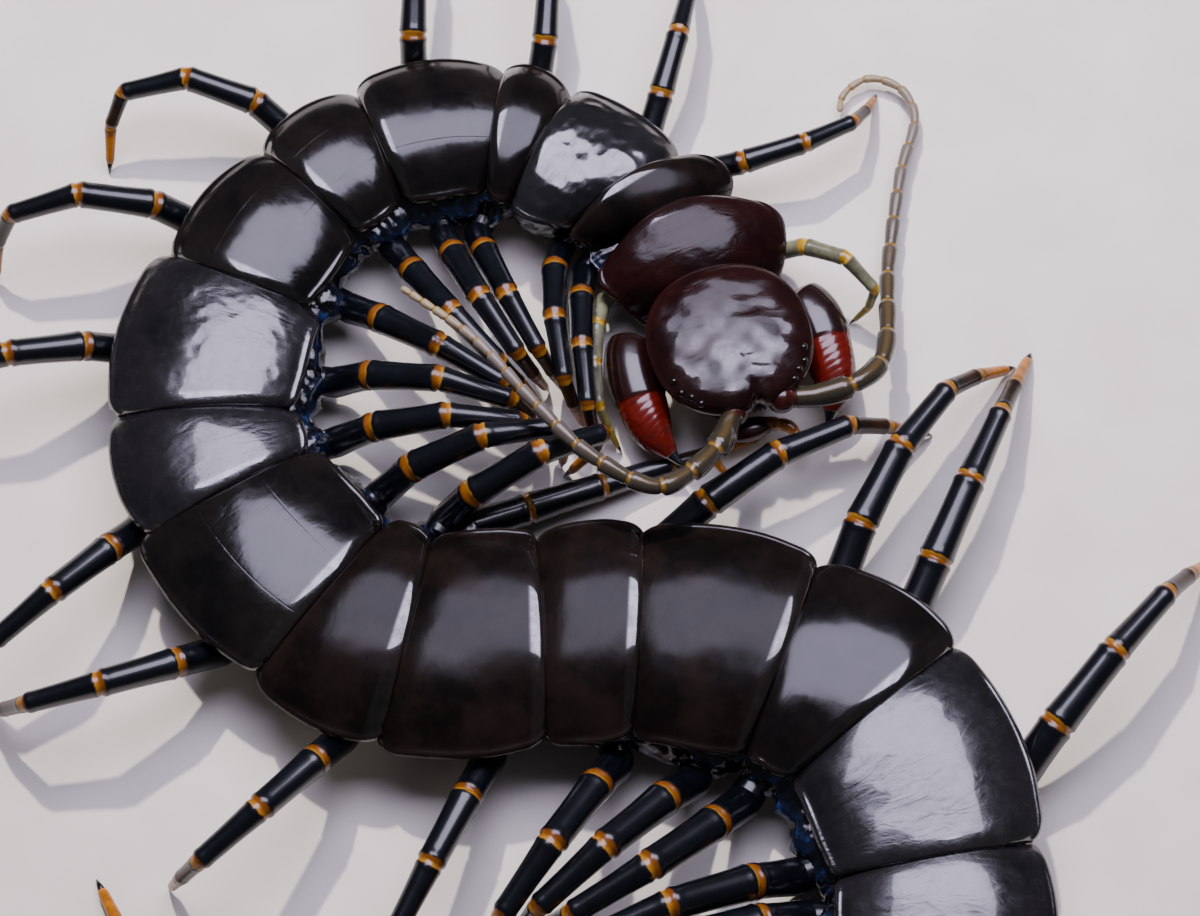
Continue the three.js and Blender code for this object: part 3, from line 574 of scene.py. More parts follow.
# %% All back plates
TRUNK_NODES = [[1]] + [[first, first + 1] for first in range(2, COUNT, 2)]
PLATE_GROUPS = {
    maroon_horn: [1], crumpled_horn: [3], smooth_horn: [2, 11, 12, 13, 14], lined_horn: [5, 6, 7, 10],
    worn_horn: [8, 9, 16, 17],
}
PLATE_FINISHES = {member: finish for finish, group in PLATE_GROUPS.items() for member in group}
PLATE_SHAPES = {1: (4.0, 0.22, 1.5), 2: (2.6, 0.1, 1.0), 3: (1.6, 0.02, 3.0), 8: (1.6, 0.02, 1.8)}
for number, members in enumerate(TRUNK_NODES, 1):
    for member in members:
        front = NECK_LAP if member == 1 else FRONT_LAP
        surface = back_plate(member - 1, front, *PLATE_SHAPES.get(member, (1.6, 0.02, 1.0)))
        finish = PLATE_FINISHES.get(member, clean_horn)
        add_piece(f"back_plate_{member:02d}", [surface], finish, [f"trunk_{number:02d}"])
print("made", COUNT, "back plates")

# %% [markdown]
# ## The soft flanks
#
# Between the back plates and the belly plates a centipede is leathery skin: a membrane that folds
# like an accordion as the animal bends, and that shines as if wet. A cloth simulation could fold
# it, but ridged ripples give folds with sharp creases between them in one step and the same on
# every run. One single skin runs along the whole trunk, so no seam shows, and its section is a
# smooth loop through a few places round the body.

# %% Finish of the soft skin


def skin_finish():
    """Wet membrane: blue-black of its own, turned navy on the fold ridges as painted sheen and black
    in the creases as painted shade, with a clear bright film over it.
    """
    finish, tree, place = blank_finish("wet_pleura_membrane")
    # Painted shade and sheen: the fold heights, times a mottle, turn the creases black and the ridges navy.
    fold = add(tree, "MapRange", {"Value": mark(tree, "fold"), "From Min": 0.15, "From Max": 0.95})
    mottle = add(tree, "TexNoise", {"Vector": place, "Scale": per(1.6), "Detail": 4.0, "Roughness": 0.6})
    fold_shade_and_mottle = add(tree, "Math", {0: fold.outputs[0], 1: mottle.outputs["Fac"]}, operation="MULTIPLY")
    tone = add(tree, "ValToRGB", {"Fac": fold_shade_and_mottle.outputs[0]}, [
        (0.08, "#040508"), (0.4, "#0a1226"), (0.66, "#1b3468")])
    wrinkle = add(tree, "TexVoronoi", {"Vector": place, "Scale": per(0.7)}, feature="SMOOTH_F1")
    depth = wrinkle.outputs["Distance"]
    bump = add(tree, "Bump", {"Strength": 0.8, "Distance": 0.12 * MM, "Height": depth}, invert=True)
    shader = add(tree, "BsdfPrincipled", {
        "Base Color": tone.outputs["Color"], "Roughness": 0.16, "IOR": 1.45, "Coat Weight": 0.6,
        "Coat Roughness": 0.03, "Normal": bump.outputs[0],
    })
    add(tree, "OutputMaterial", {"Surface": shader.outputs[0]})
    return finish


wet_skin = skin_finish()
print("made", wet_skin.name)

# %% The section of the soft skin
SKIN_ROWS = 30
NECK_ROWS, TAIL_ROWS = 8, 12
SKIN_COLUMNS = 104
SKIN_MIDDLE = 4.6
TAIL_REACH = 0.275


def loop_weights(count, knots):
    """Weights that draw a smooth closed loop (Catmull-Rom) through any places, a row for each point
    of the loop and a column for each place."""
    at = np.arange(count) / count * knots
    first = np.floor(at).astype(int)
    t = at - first
    shares = [(-t + 2 * t ** 2 - t ** 3) / 2, (2 - 5 * t ** 2 + 3 * t ** 3) / 2,
              (t + 4 * t ** 2 - 3 * t ** 3) / 2, (t ** 3 - t ** 2) / 2]
    weights = np.zeros((count, knots))
    for offset, share in zip((-1, 0, 1, 2), shares):
        np.add.at(weights, (np.arange(count), (first + offset) % knots), share)
    return weights


def skin_rows():
    """The segment and the share of its length at each row: a few rows towards the head, thirty on
    each segment and a few past the last one."""
    segment = np.concatenate([
        np.zeros(NECK_ROWS, int), np.repeat(np.arange(COUNT), SKIN_ROWS), np.full(TAIL_ROWS, COUNT - 1)])
    share = np.concatenate([
        np.linspace(-0.2, -0.02, NECK_ROWS), np.tile((np.arange(SKIN_ROWS) + 0.5) / SKIN_ROWS, COUNT),
        1 + np.linspace(0.03, 0.27, TAIL_ROWS)])
    return segment, share


def skin_corners(segment, share, half):
    """Corners of the section at each row, from the belly up the left flank, over the back and down
    the right one: distances to the left, and heights."""
    pinch = 0.93 + 0.1 * np.sin(math.pi * share) ** 0.7
    flanks = [flank_share(segment, share, side) * pinch * half for side in (1, -1)]
    left, right = ([0.4 * half, 0.64 * half, flank, flank, np.minimum(0.8 * half, flank), 0.52 * half]
                   for flank in flanks)
    rise = [1.65, 2.1, 3.1, 4.7, 6.0, 7.0]
    across = left + [0 * half] + [-corner for corner in right[::-1]] + [0 * half]
    return np.stack(across, 1), np.array(rise + [7.7] + rise[::-1] + [1.6])


# %% The soft skin in one piece


def trunk_skin():
    """The membrane from the neck to the tail. Each row is a smooth loop through the corners of its
    section, the tail is drawn in along a quarter circle, and the flanks are pushed out by folds."""
    segment, share = skin_rows()
    inside = np.clip(share, 0, 1)
    end = np.clip((share - 1) / TAIL_REACH, 0, 1)
    half = body_width(segment, inside) / 2
    half = half * np.sqrt(1 - end ** 2) * (1 - 0.3 * soft_step(-share / 0.2))
    across, levels = skin_corners(segment, inside, half)
    weights = loop_weights(SKIN_COLUMNS, len(levels))
    across = across @ weights.T
    height = np.broadcast_to(levels @ weights.T, across.shape)
    height = height - (1.3 * first_dip(segment, share))[:, None] * soft_step((height - SKIN_MIDDLE) / 1.8)
    end_scale = np.sqrt(1 - end ** 2)[:, None]
    height = SKIN_MIDDLE + (height - SKIN_MIDDLE) * (0.35 + 0.65 * end_scale)
    segment = np.broadcast_to(segment[:, None], across.shape)
    share = np.broadcast_to(share[:, None], across.shape)
    points = np.concatenate([plan(segment, share, across), height[..., None]], -1)
    lumps = ripple(points, 4.2, 7)
    ridges = 1 - np.abs(ripple(points * [1, 1, 0.6], 3.0, 8)) * 0.7
    fine = 1 - np.abs(ripple(points, 1.5, 9)) * 0.7
    fold = 0.6 * ridges + 0.4 * fine
    on_flank = soft_step((np.abs(across) / half[:, None] - 0.45) / 0.2) * soft_step((6.6 - height) / 0.8)
    push = (0.25 * lumps + 0.5 * fold + 0.15) * on_flank * (1 - end[:, None])
    swollen = across + np.sign(across) * push
    points = np.concatenate([plan(segment, share, swollen), height[..., None]], -1)
    # The fold heights also go to the finish, which paints the creases black as shade and the ridges navy as
    # sheen.
    return tube(points, {"fold": fold})


skin_nodes = [f"trunk_{n + 1:02d}" for n in range(len(TRUNK_NODES))]
skin = add_piece("trunk_skin", [trunk_skin()], wet_skin, skin_nodes)
print("the skin has", len(skin.data.polygons), "faces")

# %% [markdown]
# ## The belly plates
#
# Under each segment lies a flat horn plate, smoother and duller than the one on the back. Bare
# skin would do for most views, but a low camera sees these plates, so one mesh holds all of them,
# made by the same thin shell of two grids.

# %% The belly plates
BELLY_SHARE = 0.46
BELLY_HALF_THICKNESS = 0.12


def belly_plate(segment):
    """A shallow tray under one segment: its height falls by 0.14 towards the middle."""
    length = lengths[segment]
    across = np.sin(np.linspace(-1, 1, 25) * math.pi / 2)
    run = (1 - np.cos(np.linspace(0, 1, 21) * math.pi)) / 2
    across, share = np.meshgrid(across, run * 0.9 + 0.05)
    corner = np.clip(np.abs(share - 0.5) / 0.45, 0, 1)
    half = widths[segment] / 2 * BELLY_SHARE * (1 - 0.12 * corner ** 4)
    centre = plan(segment, share, across * half)
    edge = np.minimum((0.45 - np.abs(share - 0.5)) * length, (1 - np.abs(across)) * half)
    middle = BELLY - 0.1 - 0.14 * (1 - across ** 2)
    marks = {"edge": edge, "across": across, "aside": across * half, "run": share * length}
    return thin_plate(centre, middle, edge, BELLY_HALF_THICKNESS, marks)


trays = [belly_plate(segment) for segment in range(COUNT)]
add_piece("belly_plates", trays, clean_horn, skin_nodes)
print("made", COUNT, "belly plates")

# %% [markdown]
# ## The head shield
#
# The head is covered by one shield of maroon horn, round from above and domed like a beetle's back.
# A squashed sphere could stand for it, but its edge would be too thin and its outline too plain.
# This is a table of rings that shrink towards the top: an outline that lies between an ellipse and
# a box, a dome over it and a rounded edge. A small notch and a furrow part its front, and wrinkles
# run over it as over the skin on cooled milk.

# %% The plane, the outline and the dome of the shield
SHIELD_HALF_WIDTH = 7.5
SHIELD_HALF_LENGTH = 7.3
SHIELD_ROUNDNESS = 2.25
SHIELD_RIM = 7.65
SHIELD_PITCH = math.radians(2)
SHIELD_LIFT = 0.12
SHIELD_COLUMNS = 200
TOP_RINGS = 90
SOCKET_MIDDLE = 0.7


def on_shield(places):
    """Turns places over the tipped plane of the shield into the animal's plan: it falls by two
    degrees towards the front."""
    left, forward, up = np.moveaxis(np.asarray(places, float), -1, 0)
    ahead = forward * math.cos(SHIELD_PITCH) + up * math.sin(SHIELD_PITCH)
    level = up * math.cos(SHIELD_PITCH) - forward * math.sin(SHIELD_PITCH) + SHIELD_RIM
    return on_head(np.stack([left, ahead, level], -1))


def shield_edge(angle):
    """The outline at an angle from straight ahead: the distance at which (left / half-width) and
    (forward / half-length), each to the power 2.25, add up to one."""
    across, ahead = np.sin(angle), np.cos(angle)
    total = (np.abs(across / SHIELD_HALF_WIDTH) ** SHIELD_ROUNDNESS
             + np.abs(ahead / SHIELD_HALF_LENGTH) ** SHIELD_ROUNDNESS)
    reach = total ** (-1 / SHIELD_ROUNDNESS)
    return across * reach, ahead * reach


def from_ahead(angle):
    """The same angle, counted from straight ahead to both sides."""
    return np.where(angle > math.pi, angle - 2 * math.pi, angle)


def dome(left, forward):
    """The height of the dome. With the share of the way out worked out as for the outline, it is
    0.12 + (1.7 - 1.1 (left / half-width)^2 + 0.04 forward) x (1 - share^8) to the 0.7."""
    share = (np.abs(left / SHIELD_HALF_WIDTH) ** SHIELD_ROUNDNESS
             + np.abs(forward / SHIELD_HALF_LENGTH) ** SHIELD_ROUNDNESS) ** (1 / SHIELD_ROUNDNESS)
    crown = 1.7 - 1.1 * (left / SHIELD_HALF_WIDTH) ** 2 + 0.04 * forward
    return SHIELD_LIFT + crown * np.clip(1 - share ** 8, 0, 1) ** 0.7


# %% The head shield and what is under it


def head_shield():
    """Rings from the top of the dome over the rounded edge to the underside, with a notch and a
    furrow in front, a flat dent behind each feeler, soft dents all over and slanting wrinkles. The
    lip mark, where the clear film is thick, grows towards the front in patches of ripple."""
    angle = full_turn(SHIELD_COLUMNS)
    top = np.sin(np.linspace(0.01, 1, TOP_RINGS) * math.pi / 2)
    roll = np.linspace(0, 1, 10)[1:] * math.pi
    below = np.linspace(0.98, 0.05, 14)[1:]
    share = np.concatenate([top, 1 - 0.012 * (1 - np.cos(roll)) / 2, below])
    left, forward = shield_edge(angle)
    crown = dome(top[:, None] * left, top[:, None] * forward)
    skirt = np.concatenate([SHIELD_LIFT - 0.2 * (1 - np.cos(roll)), -0.28 - 0.1 * (1 - below)])
    height = np.concatenate([crown, np.repeat(skirt[:, None], len(angle), 1)])
    notch = 1 - 0.085 * bell(from_ahead(angle) - SOCKET_MIDDLE / SHIELD_HALF_LENGTH, 0.075)
    left, forward = share[:, None] * left * notch, share[:, None] * forward * notch
    upper = (np.arange(len(share)) < TOP_RINGS)[:, None] * 1.0
    furrow = 0.2 * bell(left - SOCKET_MIDDLE, 0.5) * soft_step((forward - 4.8) / 2.0)
    pressed = 0.1 * bell(np.hypot((np.abs(left) - 3.8) / 1.4, (forward - 3.4) / 1.9), 1)
    height = height - (furrow + pressed) * upper
    middle = soft_step((1 - share) / 0.2)[:, None]
    spots = np.stack([left, forward, 0 * left], -1)
    slanted = spots @ np.array([[0.5, -1.1, 0], [0.25, 1.5, 0], [0, 0, 1]])
    dents = 0.05 * ripple(spots, 4.6, 31) + 0.02 * ripple(spots, 2.2, 33) + 0.006 * ripple(slanted, 1.6, 32)
    folds = 0.012 * (1 - np.abs(ripple(slanted * [0.6, 0.8, 1], 3.0, 34)))
    height = height + (dents + folds * bell(np.hypot(left + 0.5, forward + 1.5), 3.2)) * middle * upper
    points = on_shield(np.stack([left, forward, height], -1))
    edge = (1 - share[:, None]) * np.hypot(*shield_edge(angle)) + 8 * (1 - upper)
    patches = np.clip(0.6 + 0.4 * ripple(spots, 2.1, 35), 0, 1)
    lip = 0.6 * soft_step((forward + 5.0) / 9.0) * patches * upper
    marks = {"edge": edge, "across": left / SHIELD_HALF_WIDTH, "aside": left, "run": forward, "lip": lip}
    return tube(points, marks)


def head_capsule():
    """The lower wall of the head: rings that draw in under the shield and bulge out at the front."""
    angle = full_turn(SHIELD_COLUMNS)
    steps = np.array([
        [0.5, -0.1], [0.9, -0.2], [0.93, -0.5], [0.9, -0.9], [0.84, -1.4], [0.8, -2.0],
        [0.76, -2.5], [0.6, -2.7], [0.3, -2.75],
    ])
    share, height = (np.interp(np.linspace(0, 8, 41), np.arange(9), column) for column in steps.T)
    left, forward = shield_edge(angle)
    grow = share[:, None] * (1 + 0.05 * bell(from_ahead(angle), 0.5))
    left, forward = left * grow, forward * grow
    points = on_shield(np.stack([left, forward, np.broadcast_to(height[:, None], grow.shape)], -1))
    return tube(points, {"edge": np.full(grow.shape, FAR_INLAND), "across": left / SHIELD_HALF_WIDTH,
                         "aside": left, "run": forward})


add_piece("head_shield", [head_shield()], maroon_horn, ["head"])
add_piece("head_capsule", [head_capsule()], maroon_horn, ["head"])
print("the shield is", 2 * SHIELD_HALF_WIDTH, "mm wide")

# %% [markdown]
# ## The eyes and the sockets of the feelers
#
# Four ocelli sit on each side at the front of the head, each a low dome of clear cuticle over dark
# pigment, like a drop of ink. A ball sunk into the shield is enough for that, because only its cap
# shows. The feelers stand in soft deep red cups at the very front, each a ball whose front is drawn
# out into a cone, so that it closes round the feeler's neck.

# %% Finish of the eyes and the sockets


def eye_finish():
    """A clear dark dome: a black body under a clean hard film."""
    finish, tree, place = blank_finish("ocellus_lens")
    depth = add(tree, "TexNoise", {"Vector": place, "Scale": per(0.5), "Detail": 1.0})
    tone = add(tree, "ValToRGB", {"Fac": depth.outputs["Fac"]}, [(0.3, "#030304"), (0.8, "#1d120c")])
    shader = add(tree, "BsdfPrincipled", {
        "Base Color": tone.outputs["Color"], "Roughness": 0.12, "IOR": 1.5, "Coat Weight": 0.2,
        "Coat Roughness": 0.05,
    })
    add(tree, "OutputMaterial", {"Surface": shader.outputs[0]})
    return finish


def membrane_finish(name, deep, light, clear):
    """Soft stretched cuticle: two clouded tones that let light through, a wet film and fine pleats."""
    finish, tree, place = blank_finish(name)
    cloud = add(tree, "TexNoise", {"Vector": place, "Scale": per(0.9), "Detail": 4.0, "Roughness": 0.6})
    tone = add(tree, "ValToRGB", {"Fac": cloud.outputs["Fac"]}, [(0.35, deep), (0.65, light)])
    pleat = add(tree, "TexNoise", {"Vector": place, "Scale": per(0.35), "Detail": 3.0})
    bump = add(tree, "Bump", {"Strength": 0.4, "Distance": 0.05 * MM, "Height": pleat.outputs["Fac"]})
    shader = add(tree, "BsdfPrincipled", {
        "Base Color": tone.outputs["Color"], "Roughness": 0.28, "IOR": 1.48, "Coat Weight": 0.6,
        "Coat Roughness": 0.06, "Subsurface Weight": clear, "Subsurface Scale": 0.6 * MM,
        "Subsurface Radius": (1.0, 0.45, 0.2), "Normal": bump.outputs[0],
    })
    add(tree, "OutputMaterial", {"Surface": shader.outputs[0]})
    return finish


ocellus = eye_finish()
red_membrane = membrane_finish("orange_red_membrane", "#1c0603", "#380d06", 0.05)

# %% The eyes
EYE_RADIUS = 0.4
EYES = ((5.0, 4.75), (5.75, 4.05), (6.1, 2.8), (4.35, 5.55))


def ball(centre, radii, rows=16, columns=24):
    """An ellipsoid: rings of radius sin(angle) at heights cos(angle) from pole to pole."""
    angle = (np.arange(rows) + 0.5) / rows * math.pi
    turn = full_turn(columns)
    shape = np.stack([np.outer(np.sin(angle), np.cos(turn)), np.outer(np.sin(angle), np.sin(turn)),
                      np.repeat(np.cos(angle)[:, None], columns, 1)], -1)
    return np.asarray(centre) + shape * radii


eyes = []
for _, side in SIDES:
    for left, forward in EYES:
        seat = (side * left, forward, dome(left, forward) - 0.2)
        eyes.append(tube(on_shield(ball(seat, EYE_RADIUS)), {}))
add_piece("ocelli", eyes, ocellus, ["head"])
print("made", len(eyes), "eyes")

# %% [markdown]
# ## The feelers
#
# A feeler is a string of eighteen articles that grow shorter and thinner towards the tip. Each one
# starts narrow, swells and ends in a pale yellow collar. The first six are bare and glossy, and the
# rest carry such fine hairs that they look matte. A curve with a round bevel would give the tube but
# no collars, so the radius is worked out along the route here. That is a smooth line through a few
# places, the same ones that the solid follows.

# %% Finish of the feelers


def feeler_finish():
    """Translucent cuticle: olive-brown at first, then grey-lilac and tan, with yellow collars, and a
    faint pale yellow line of painted light along the top and underside of every article.
    """
    finish, tree, place = blank_finish("feeler_cuticle")
    speckle = add(tree, "TexNoise", {"Vector": place, "Scale": per(0.3), "Detail": 3.0})
    wander = add(tree, "MapRange", {"Value": speckle.outputs["Fac"], "To Min": -0.5, "To Max": 0.5})
    shifted = add(tree, "Math", {0: mark(tree, "run"), 1: wander.outputs[0]}, operation="ADD")
    outward = add(tree, "MapRange", {"Value": shifted.outputs[0], "From Min": 0.0, "From Max": 18.0})
    core = add(tree, "ValToRGB", {"Fac": outward.outputs[0]}, [
        (0.0, "#2a261e"), (0.25, "#38332a"), (0.38, "#4c4641"), (0.62, "#6a625c"), (0.85, "#8c7e60")])
    collar = add(tree, "MapRange", {"Value": mark(tree, "joint"), "From Min": 0.08, "From Max": 0.24,
                                    "To Min": 0.8, "To Max": 0.0})
    # Painted light: a faint pale yellow line along the top and underside of every article, standing in for
    # light through the thin cuticle; the collars are the feeler's own colour.
    flank = add(tree, "MapRange", {"Value": mark(tree, "flank"), "From Min": 0.92, "From Max": 1.0,
                                   "To Min": 0.0, "To Max": 0.2})
    collar_and_painted_light = add(tree, "Math", {0: collar.outputs[0], 1: flank.outputs[0]}, operation="MAXIMUM")
    colour = add(tree, "Mix", {0: collar_and_painted_light.outputs[0], 6: core.outputs[0], 7: linear("#7e5e1e")},
                 data_type="RGBA")
    gloss = add(tree, "MapRange", {"Value": mark(tree, "run"), "From Min": 5.0, "From Max": 9.0,
                                   "To Min": 0.2, "To Max": 0.4})
    hair = add(tree, "TexNoise", {"Vector": place, "Scale": per(0.12), "Detail": 2.0})
    bump = add(tree, "Bump", {"Strength": 0.3, "Distance": 0.03 * MM, "Height": hair.outputs["Fac"]})
    shader = add(tree, "BsdfPrincipled", {
        "Base Color": colour.outputs[2], "Roughness": gloss.outputs[0], "IOR": 1.5, "Coat Weight": 0.4,
        "Coat Roughness": 0.08, "Subsurface Weight": 0.03, "Subsurface Scale": 0.4 * MM,
        "Subsurface Radius": (1.0, 0.7, 0.35), "Normal": bump.outputs[0],
    })
    add(tree, "OutputMaterial", {"Surface": shader.outputs[0]})
    return finish


feeler_cuticle = feeler_finish()

# %% The shape of a feeler
FEELER_ROUTES = {
    "right": [[10.8, -0.1, 9.2], [8.2, -3.3, 10.3], [4.9, -5.2, 11.2], [-1.0, -2.6, 12.4],
              [-5.6, 1.9, 12.8], [-11.3, 8.3, 13.0], [-17.8, 13.4, 12.6]],
    "left": [[19.5, 5.4, 6.6], [22.9, 6.4, 7.0], [25.6, 9.3, 5.8], [26.8, 20.4, 2.6], [28.4, 30.5, 1.8],
             [29.9, 36.6, 1.5], [28.6, 39.6, 1.3], [25.6, 40.6, 1.3], [23.2, 38.9, 1.2], [22.8, 37.0, 1.2]],
}
FEELER_ARTICLES = 18
FEELER_BASE = 1.15
FEELER_TIP = 0.32
FEELER_COLUMNS = 24
SOCKET_APART = 2.2
SOCKET_FORWARD = 6.6
SOCKET_UP = -0.45
SOCKET_RADIUS = 1.5
SOCKET_CLEARANCE = 0.75
UP = np.array([0.0, 0.0, 1.0])


def feeler(side, route):
    """One feeler and its socket. The radius falls from 1.15 to 0.32 with the 0.75th power of the
    distance, and each article adds a narrow neck and a swollen collar."""
    socket = on_shield([SOCKET_MIDDLE + side * SOCKET_APART, SOCKET_FORWARD, SOCKET_UP])
    away = unit(np.array(route[0]) - socket)
    start = socket + away * (SOCKET_RADIUS + SOCKET_CLEARANCE)
    line = smooth_line([start] + route)
    line = np.concatenate([[socket], line])
    ends = np.append(0, np.cumsum(1 - 0.72 * (np.arange(FEELER_ARTICLES) / FEELER_ARTICLES) ** 0.8))
    first = SOCKET_RADIUS + SOCKET_CLEARANCE
    total = distances(line)[-1]
    ends = first + ends / ends[-1] * (total - first)
    ends[0] = 0.9
    run = np.linspace(0, FEELER_ARTICLES, FEELER_ARTICLES * 12 + 1)[:-1]
    run = np.concatenate([run, FEELER_ARTICLES - 0.3 * (1 - np.sin(np.linspace(0.3, 1, 8) * math.pi / 2))])
    article = np.minimum(run.astype(int), FEELER_ARTICLES - 1)
    at = np.interp(run, np.arange(FEELER_ARTICLES + 1), ends)
    share = (at - ends[article]) / (ends[article + 1] - ends[article])
    gone = (ends[article] - first).clip(0) / (total - first)
    radius = FEELER_BASE + (FEELER_TIP - FEELER_BASE) * gone ** 0.75
    waist = 0.84 + 0.16 * soft_step(share / 0.75) - 0.16 * bell(share, 0.05) - 0.18 * bell(share - 1, 0.04)
    radius = radius * waist
    last = np.clip((run - FEELER_ARTICLES + 0.5) / 0.5, 0, 1)
    radius = radius * np.sqrt(1.0001 - last ** 2)
    order = np.argsort(at)
    at, run, radius = at[order], run[order], radius[order]
    centre, along = rounded(line, at, 0.25)
    rings = sweep(centre, along, UP, radius, radius, FEELER_COLUMNS)
    joint = np.abs(at[:, None] - ends[1:-1]).min(1)
    # flank is one along the top and underside of the tube, where the finish paints a faint line of light.
    flank = np.abs(np.cos(full_turn(FEELER_COLUMNS)))
    marks = {"run": run, "joint": joint, "flank": np.broadcast_to(flank, rings.shape[:2])}
    return tube(rings, marks), socket, away


# %% The feelers and their cups
CUP_RADIUS, CUP_NECK, CUP_LENGTH = 1.35, 0.85, 0.95


def socket_cup(socket, away):
    """A soft cup round the root of a feeler: a ball of radius 1.35 whose front is drawn out into a
    cone that ends at the feeler's neck."""
    turn = np.linspace(0.06, 1, 40) * math.pi / 2 * 1.45
    at = -CUP_RADIUS * np.cos(turn)
    radius = CUP_RADIUS * np.sin(turn)
    drawn = np.linspace(0, 1, 16)[1:]
    at = np.concatenate([at, at[-1] + CUP_LENGTH * drawn])
    radius = np.concatenate([radius, radius[-1] - (radius[-1] - CUP_NECK) * drawn ** 0.8])
    centre = socket + at[:, None] * away
    along = np.broadcast_to(away, centre.shape)
    return tube(sweep(centre, along, UP, radius, radius, 32), {})


cups = []
for name, side in SIDES:
    surface, socket, away = feeler(side, FEELER_ROUTES[name])
    add_piece(f"feeler_surface_{name}", [surface], feeler_cuticle, [f"feeler_{name}"])
    cups.append(socket_cup(socket, away))
add_piece("feeler_sockets", cups, red_membrane, ["head"])
print("made", len(cups), "feelers of", FEELER_ARTICLES, "articles")

# %% [markdown]
# ## The poison jaws
#
# The jaws are the first pair of legs turned into fangs. A big maroon article carries a deep red,
# telescoped part whose folds fan out from the hinge, and a black hollow claw at the end. Three
# separate shapes would need three joins, so one sweep along a smooth line through a few stations
# makes the first two, and a mark that it carries turns maroon into red. The claw is glassier horn
# and has a finish of its own.

# %% Finish of the jaws


def fang_finish():
    """Horn that is maroon at the root and clear deep red where it is folded."""
    finish, tree, place = blank_finish("fang_horn")
    cloud = add(tree, "TexNoise", {"Vector": place, "Scale": per(1.1), "Detail": 4.0})
    wander = add(tree, "MapRange", {"Value": cloud.outputs["Fac"], "From Min": 0.3, "From Max": 0.7,
                                    "To Min": -0.25, "To Max": 0.25})
    edge = add(tree, "Math", {0: mark(tree, "red"), 1: wander.outputs[0]}, operation="ADD")
    tone = add(tree, "ValToRGB", {"Fac": edge.outputs[0]}, [
        (0.0, "#160706"), (0.35, "#1e0a08"), (0.55, "#2e0703"), (1.0, "#520c04")])
    pleat = add(tree, "TexNoise", {"Vector": place, "Scale": per(0.5), "Detail": 3.0})
    bump = add(tree, "Bump", {"Strength": 0.12, "Distance": 0.03 * MM, "Height": pleat.outputs["Fac"]})
    shader = add(tree, "BsdfPrincipled", {
        "Base Color": tone.outputs["Color"], "Roughness": 0.24, "IOR": 1.56, "Coat Weight": 0.35,
        "Coat Roughness": 0.05, "Subsurface Weight": 0.04, "Subsurface Scale": 0.5 * MM,
        "Subsurface Radius": (1.0, 0.2, 0.1), "Normal": bump.outputs[0],
    })
    add(tree, "OutputMaterial", {"Surface": shader.outputs[0]})
    return finish


fang_horn = fang_finish()
venom_claw_horn = plate_finish("venom_claw_horn", "#06070a", "#10131a", "#16181f", (0.14, 0.22), 0.6, 0.6)

# %% The jaws
JAW_PATH = np.array([
    [7.6, -4.5, 3.8, 1.3], [8.2, -3.5, 3.95, 2.15], [8.7, -1.8, 4.0, 2.55], [8.9, 0.2, 4.0, 2.55],
    [8.9, 2.2, 3.9, 2.45], [8.8, 4.0, 3.7, 2.25], [8.5, 5.6, 3.4, 1.8], [7.9, 6.9, 3.1, 1.1],
    [7.4, 7.8, 2.8, 0.6], [6.9, 8.6, 2.5, 0.2],
])
JAW_FLATNESS = 0.84
JAW_COLUMNS = 64
RED_FROM = {"left": 3.25, "right": 3.75}
CLAW_FROM = 7.6
CLAW_SHARE = 0.86
jaw_line = smooth_line(JAW_PATH, 28)
jaw_run = np.linspace(0, len(JAW_PATH) - 1, len(jaw_line))
jaw_angle = full_turn(JAW_COLUMNS)


def head_line(stations, side):
    """Places and directions of a line on the head, mirrored for the animal's right."""
    places = on_head(stations[:, :3] * [side, 1, 1])
    return places, unit(np.gradient(places, axis=0))


def jaw(name, side):
    """One jaw up to its claw: a flattened sweep with a step where the red part is telescoped into
    the maroon one, slanting folds over the red part and a round root."""
    inside = jaw_run <= CLAW_FROM + 0.1
    line, run = jaw_line[inside], jaw_run[inside]
    places, along = head_line(line, side)
    red = soft_step((run - RED_FROM[name]) / 0.3)
    slant = run[:, None] + 0.45 * np.cos(jaw_angle)
    creases = np.abs(np.sin(slant * 8.5)) ** 0.5 - 0.8
    creases = creases + 0.25 * np.abs(np.sin(jaw_angle * 5 + 2 * run[:, None])) - 0.12
    folds = 0.022 * creases * (red * soft_step((CLAW_FROM - 0.5 - run) / 1.2))[:, None]
    wide = line[:, 3] * np.sqrt(np.clip((run + 0.02) / 0.9, 0, 1)) * (1 - 0.05 * red)
    wide = wide * np.sqrt(1 - 0.5 * np.clip((run - CLAW_FROM + 0.15) / 0.25, 0, 1) ** 2)
    wide = wide[:, None] * (1 + folds)
    rings = sweep(places, along, head_left, wide, wide * JAW_FLATNESS, JAW_COLUMNS)
    return tube(rings, {"red": red})


def venom_claw(side):
    """The black claw that leaves the end of the red part: a flattened sweep along the last
    stations, 0.86 times as wide as they say."""
    line = jaw_line[jaw_run >= CLAW_FROM - 0.25]
    places, along = head_line(line, side)
    wide = line[:, 3] * CLAW_SHARE
    rings = sweep(places, along, head_left, wide, wide * JAW_FLATNESS, 32)
    return tube(rings, inland(rings))


for name, side in SIDES:
    add_piece(f"jaw_surface_{name}", [jaw(name, side)], fang_horn, [f"jaw_{name}"])
    add_piece(f"venom_claw_{name}", [venom_claw(side)], venom_claw_horn, [f"jaw_{name}"])
print("a jaw is", round(distances(jaw_line)[-1], 1), "mm long")

# %% The toothed plate between the jaws
JAW_PLATE_LEVELS = (1.9, 3.8)
JAW_PLATE_BEVEL = 0.3
TEETH = (0.45, 0.95, 1.45, 1.95)
TOOTH_FORWARD, TOOTH_UP = 5.1, 2.9
TOOTH_RADII = (0.23, 0.5, 0.6)


def area_of(outline):
    """Twice the signed area inside an outline."""
    x, y = outline.T
    return (x * np.roll(y, -1) - y * np.roll(x, -1)).sum()


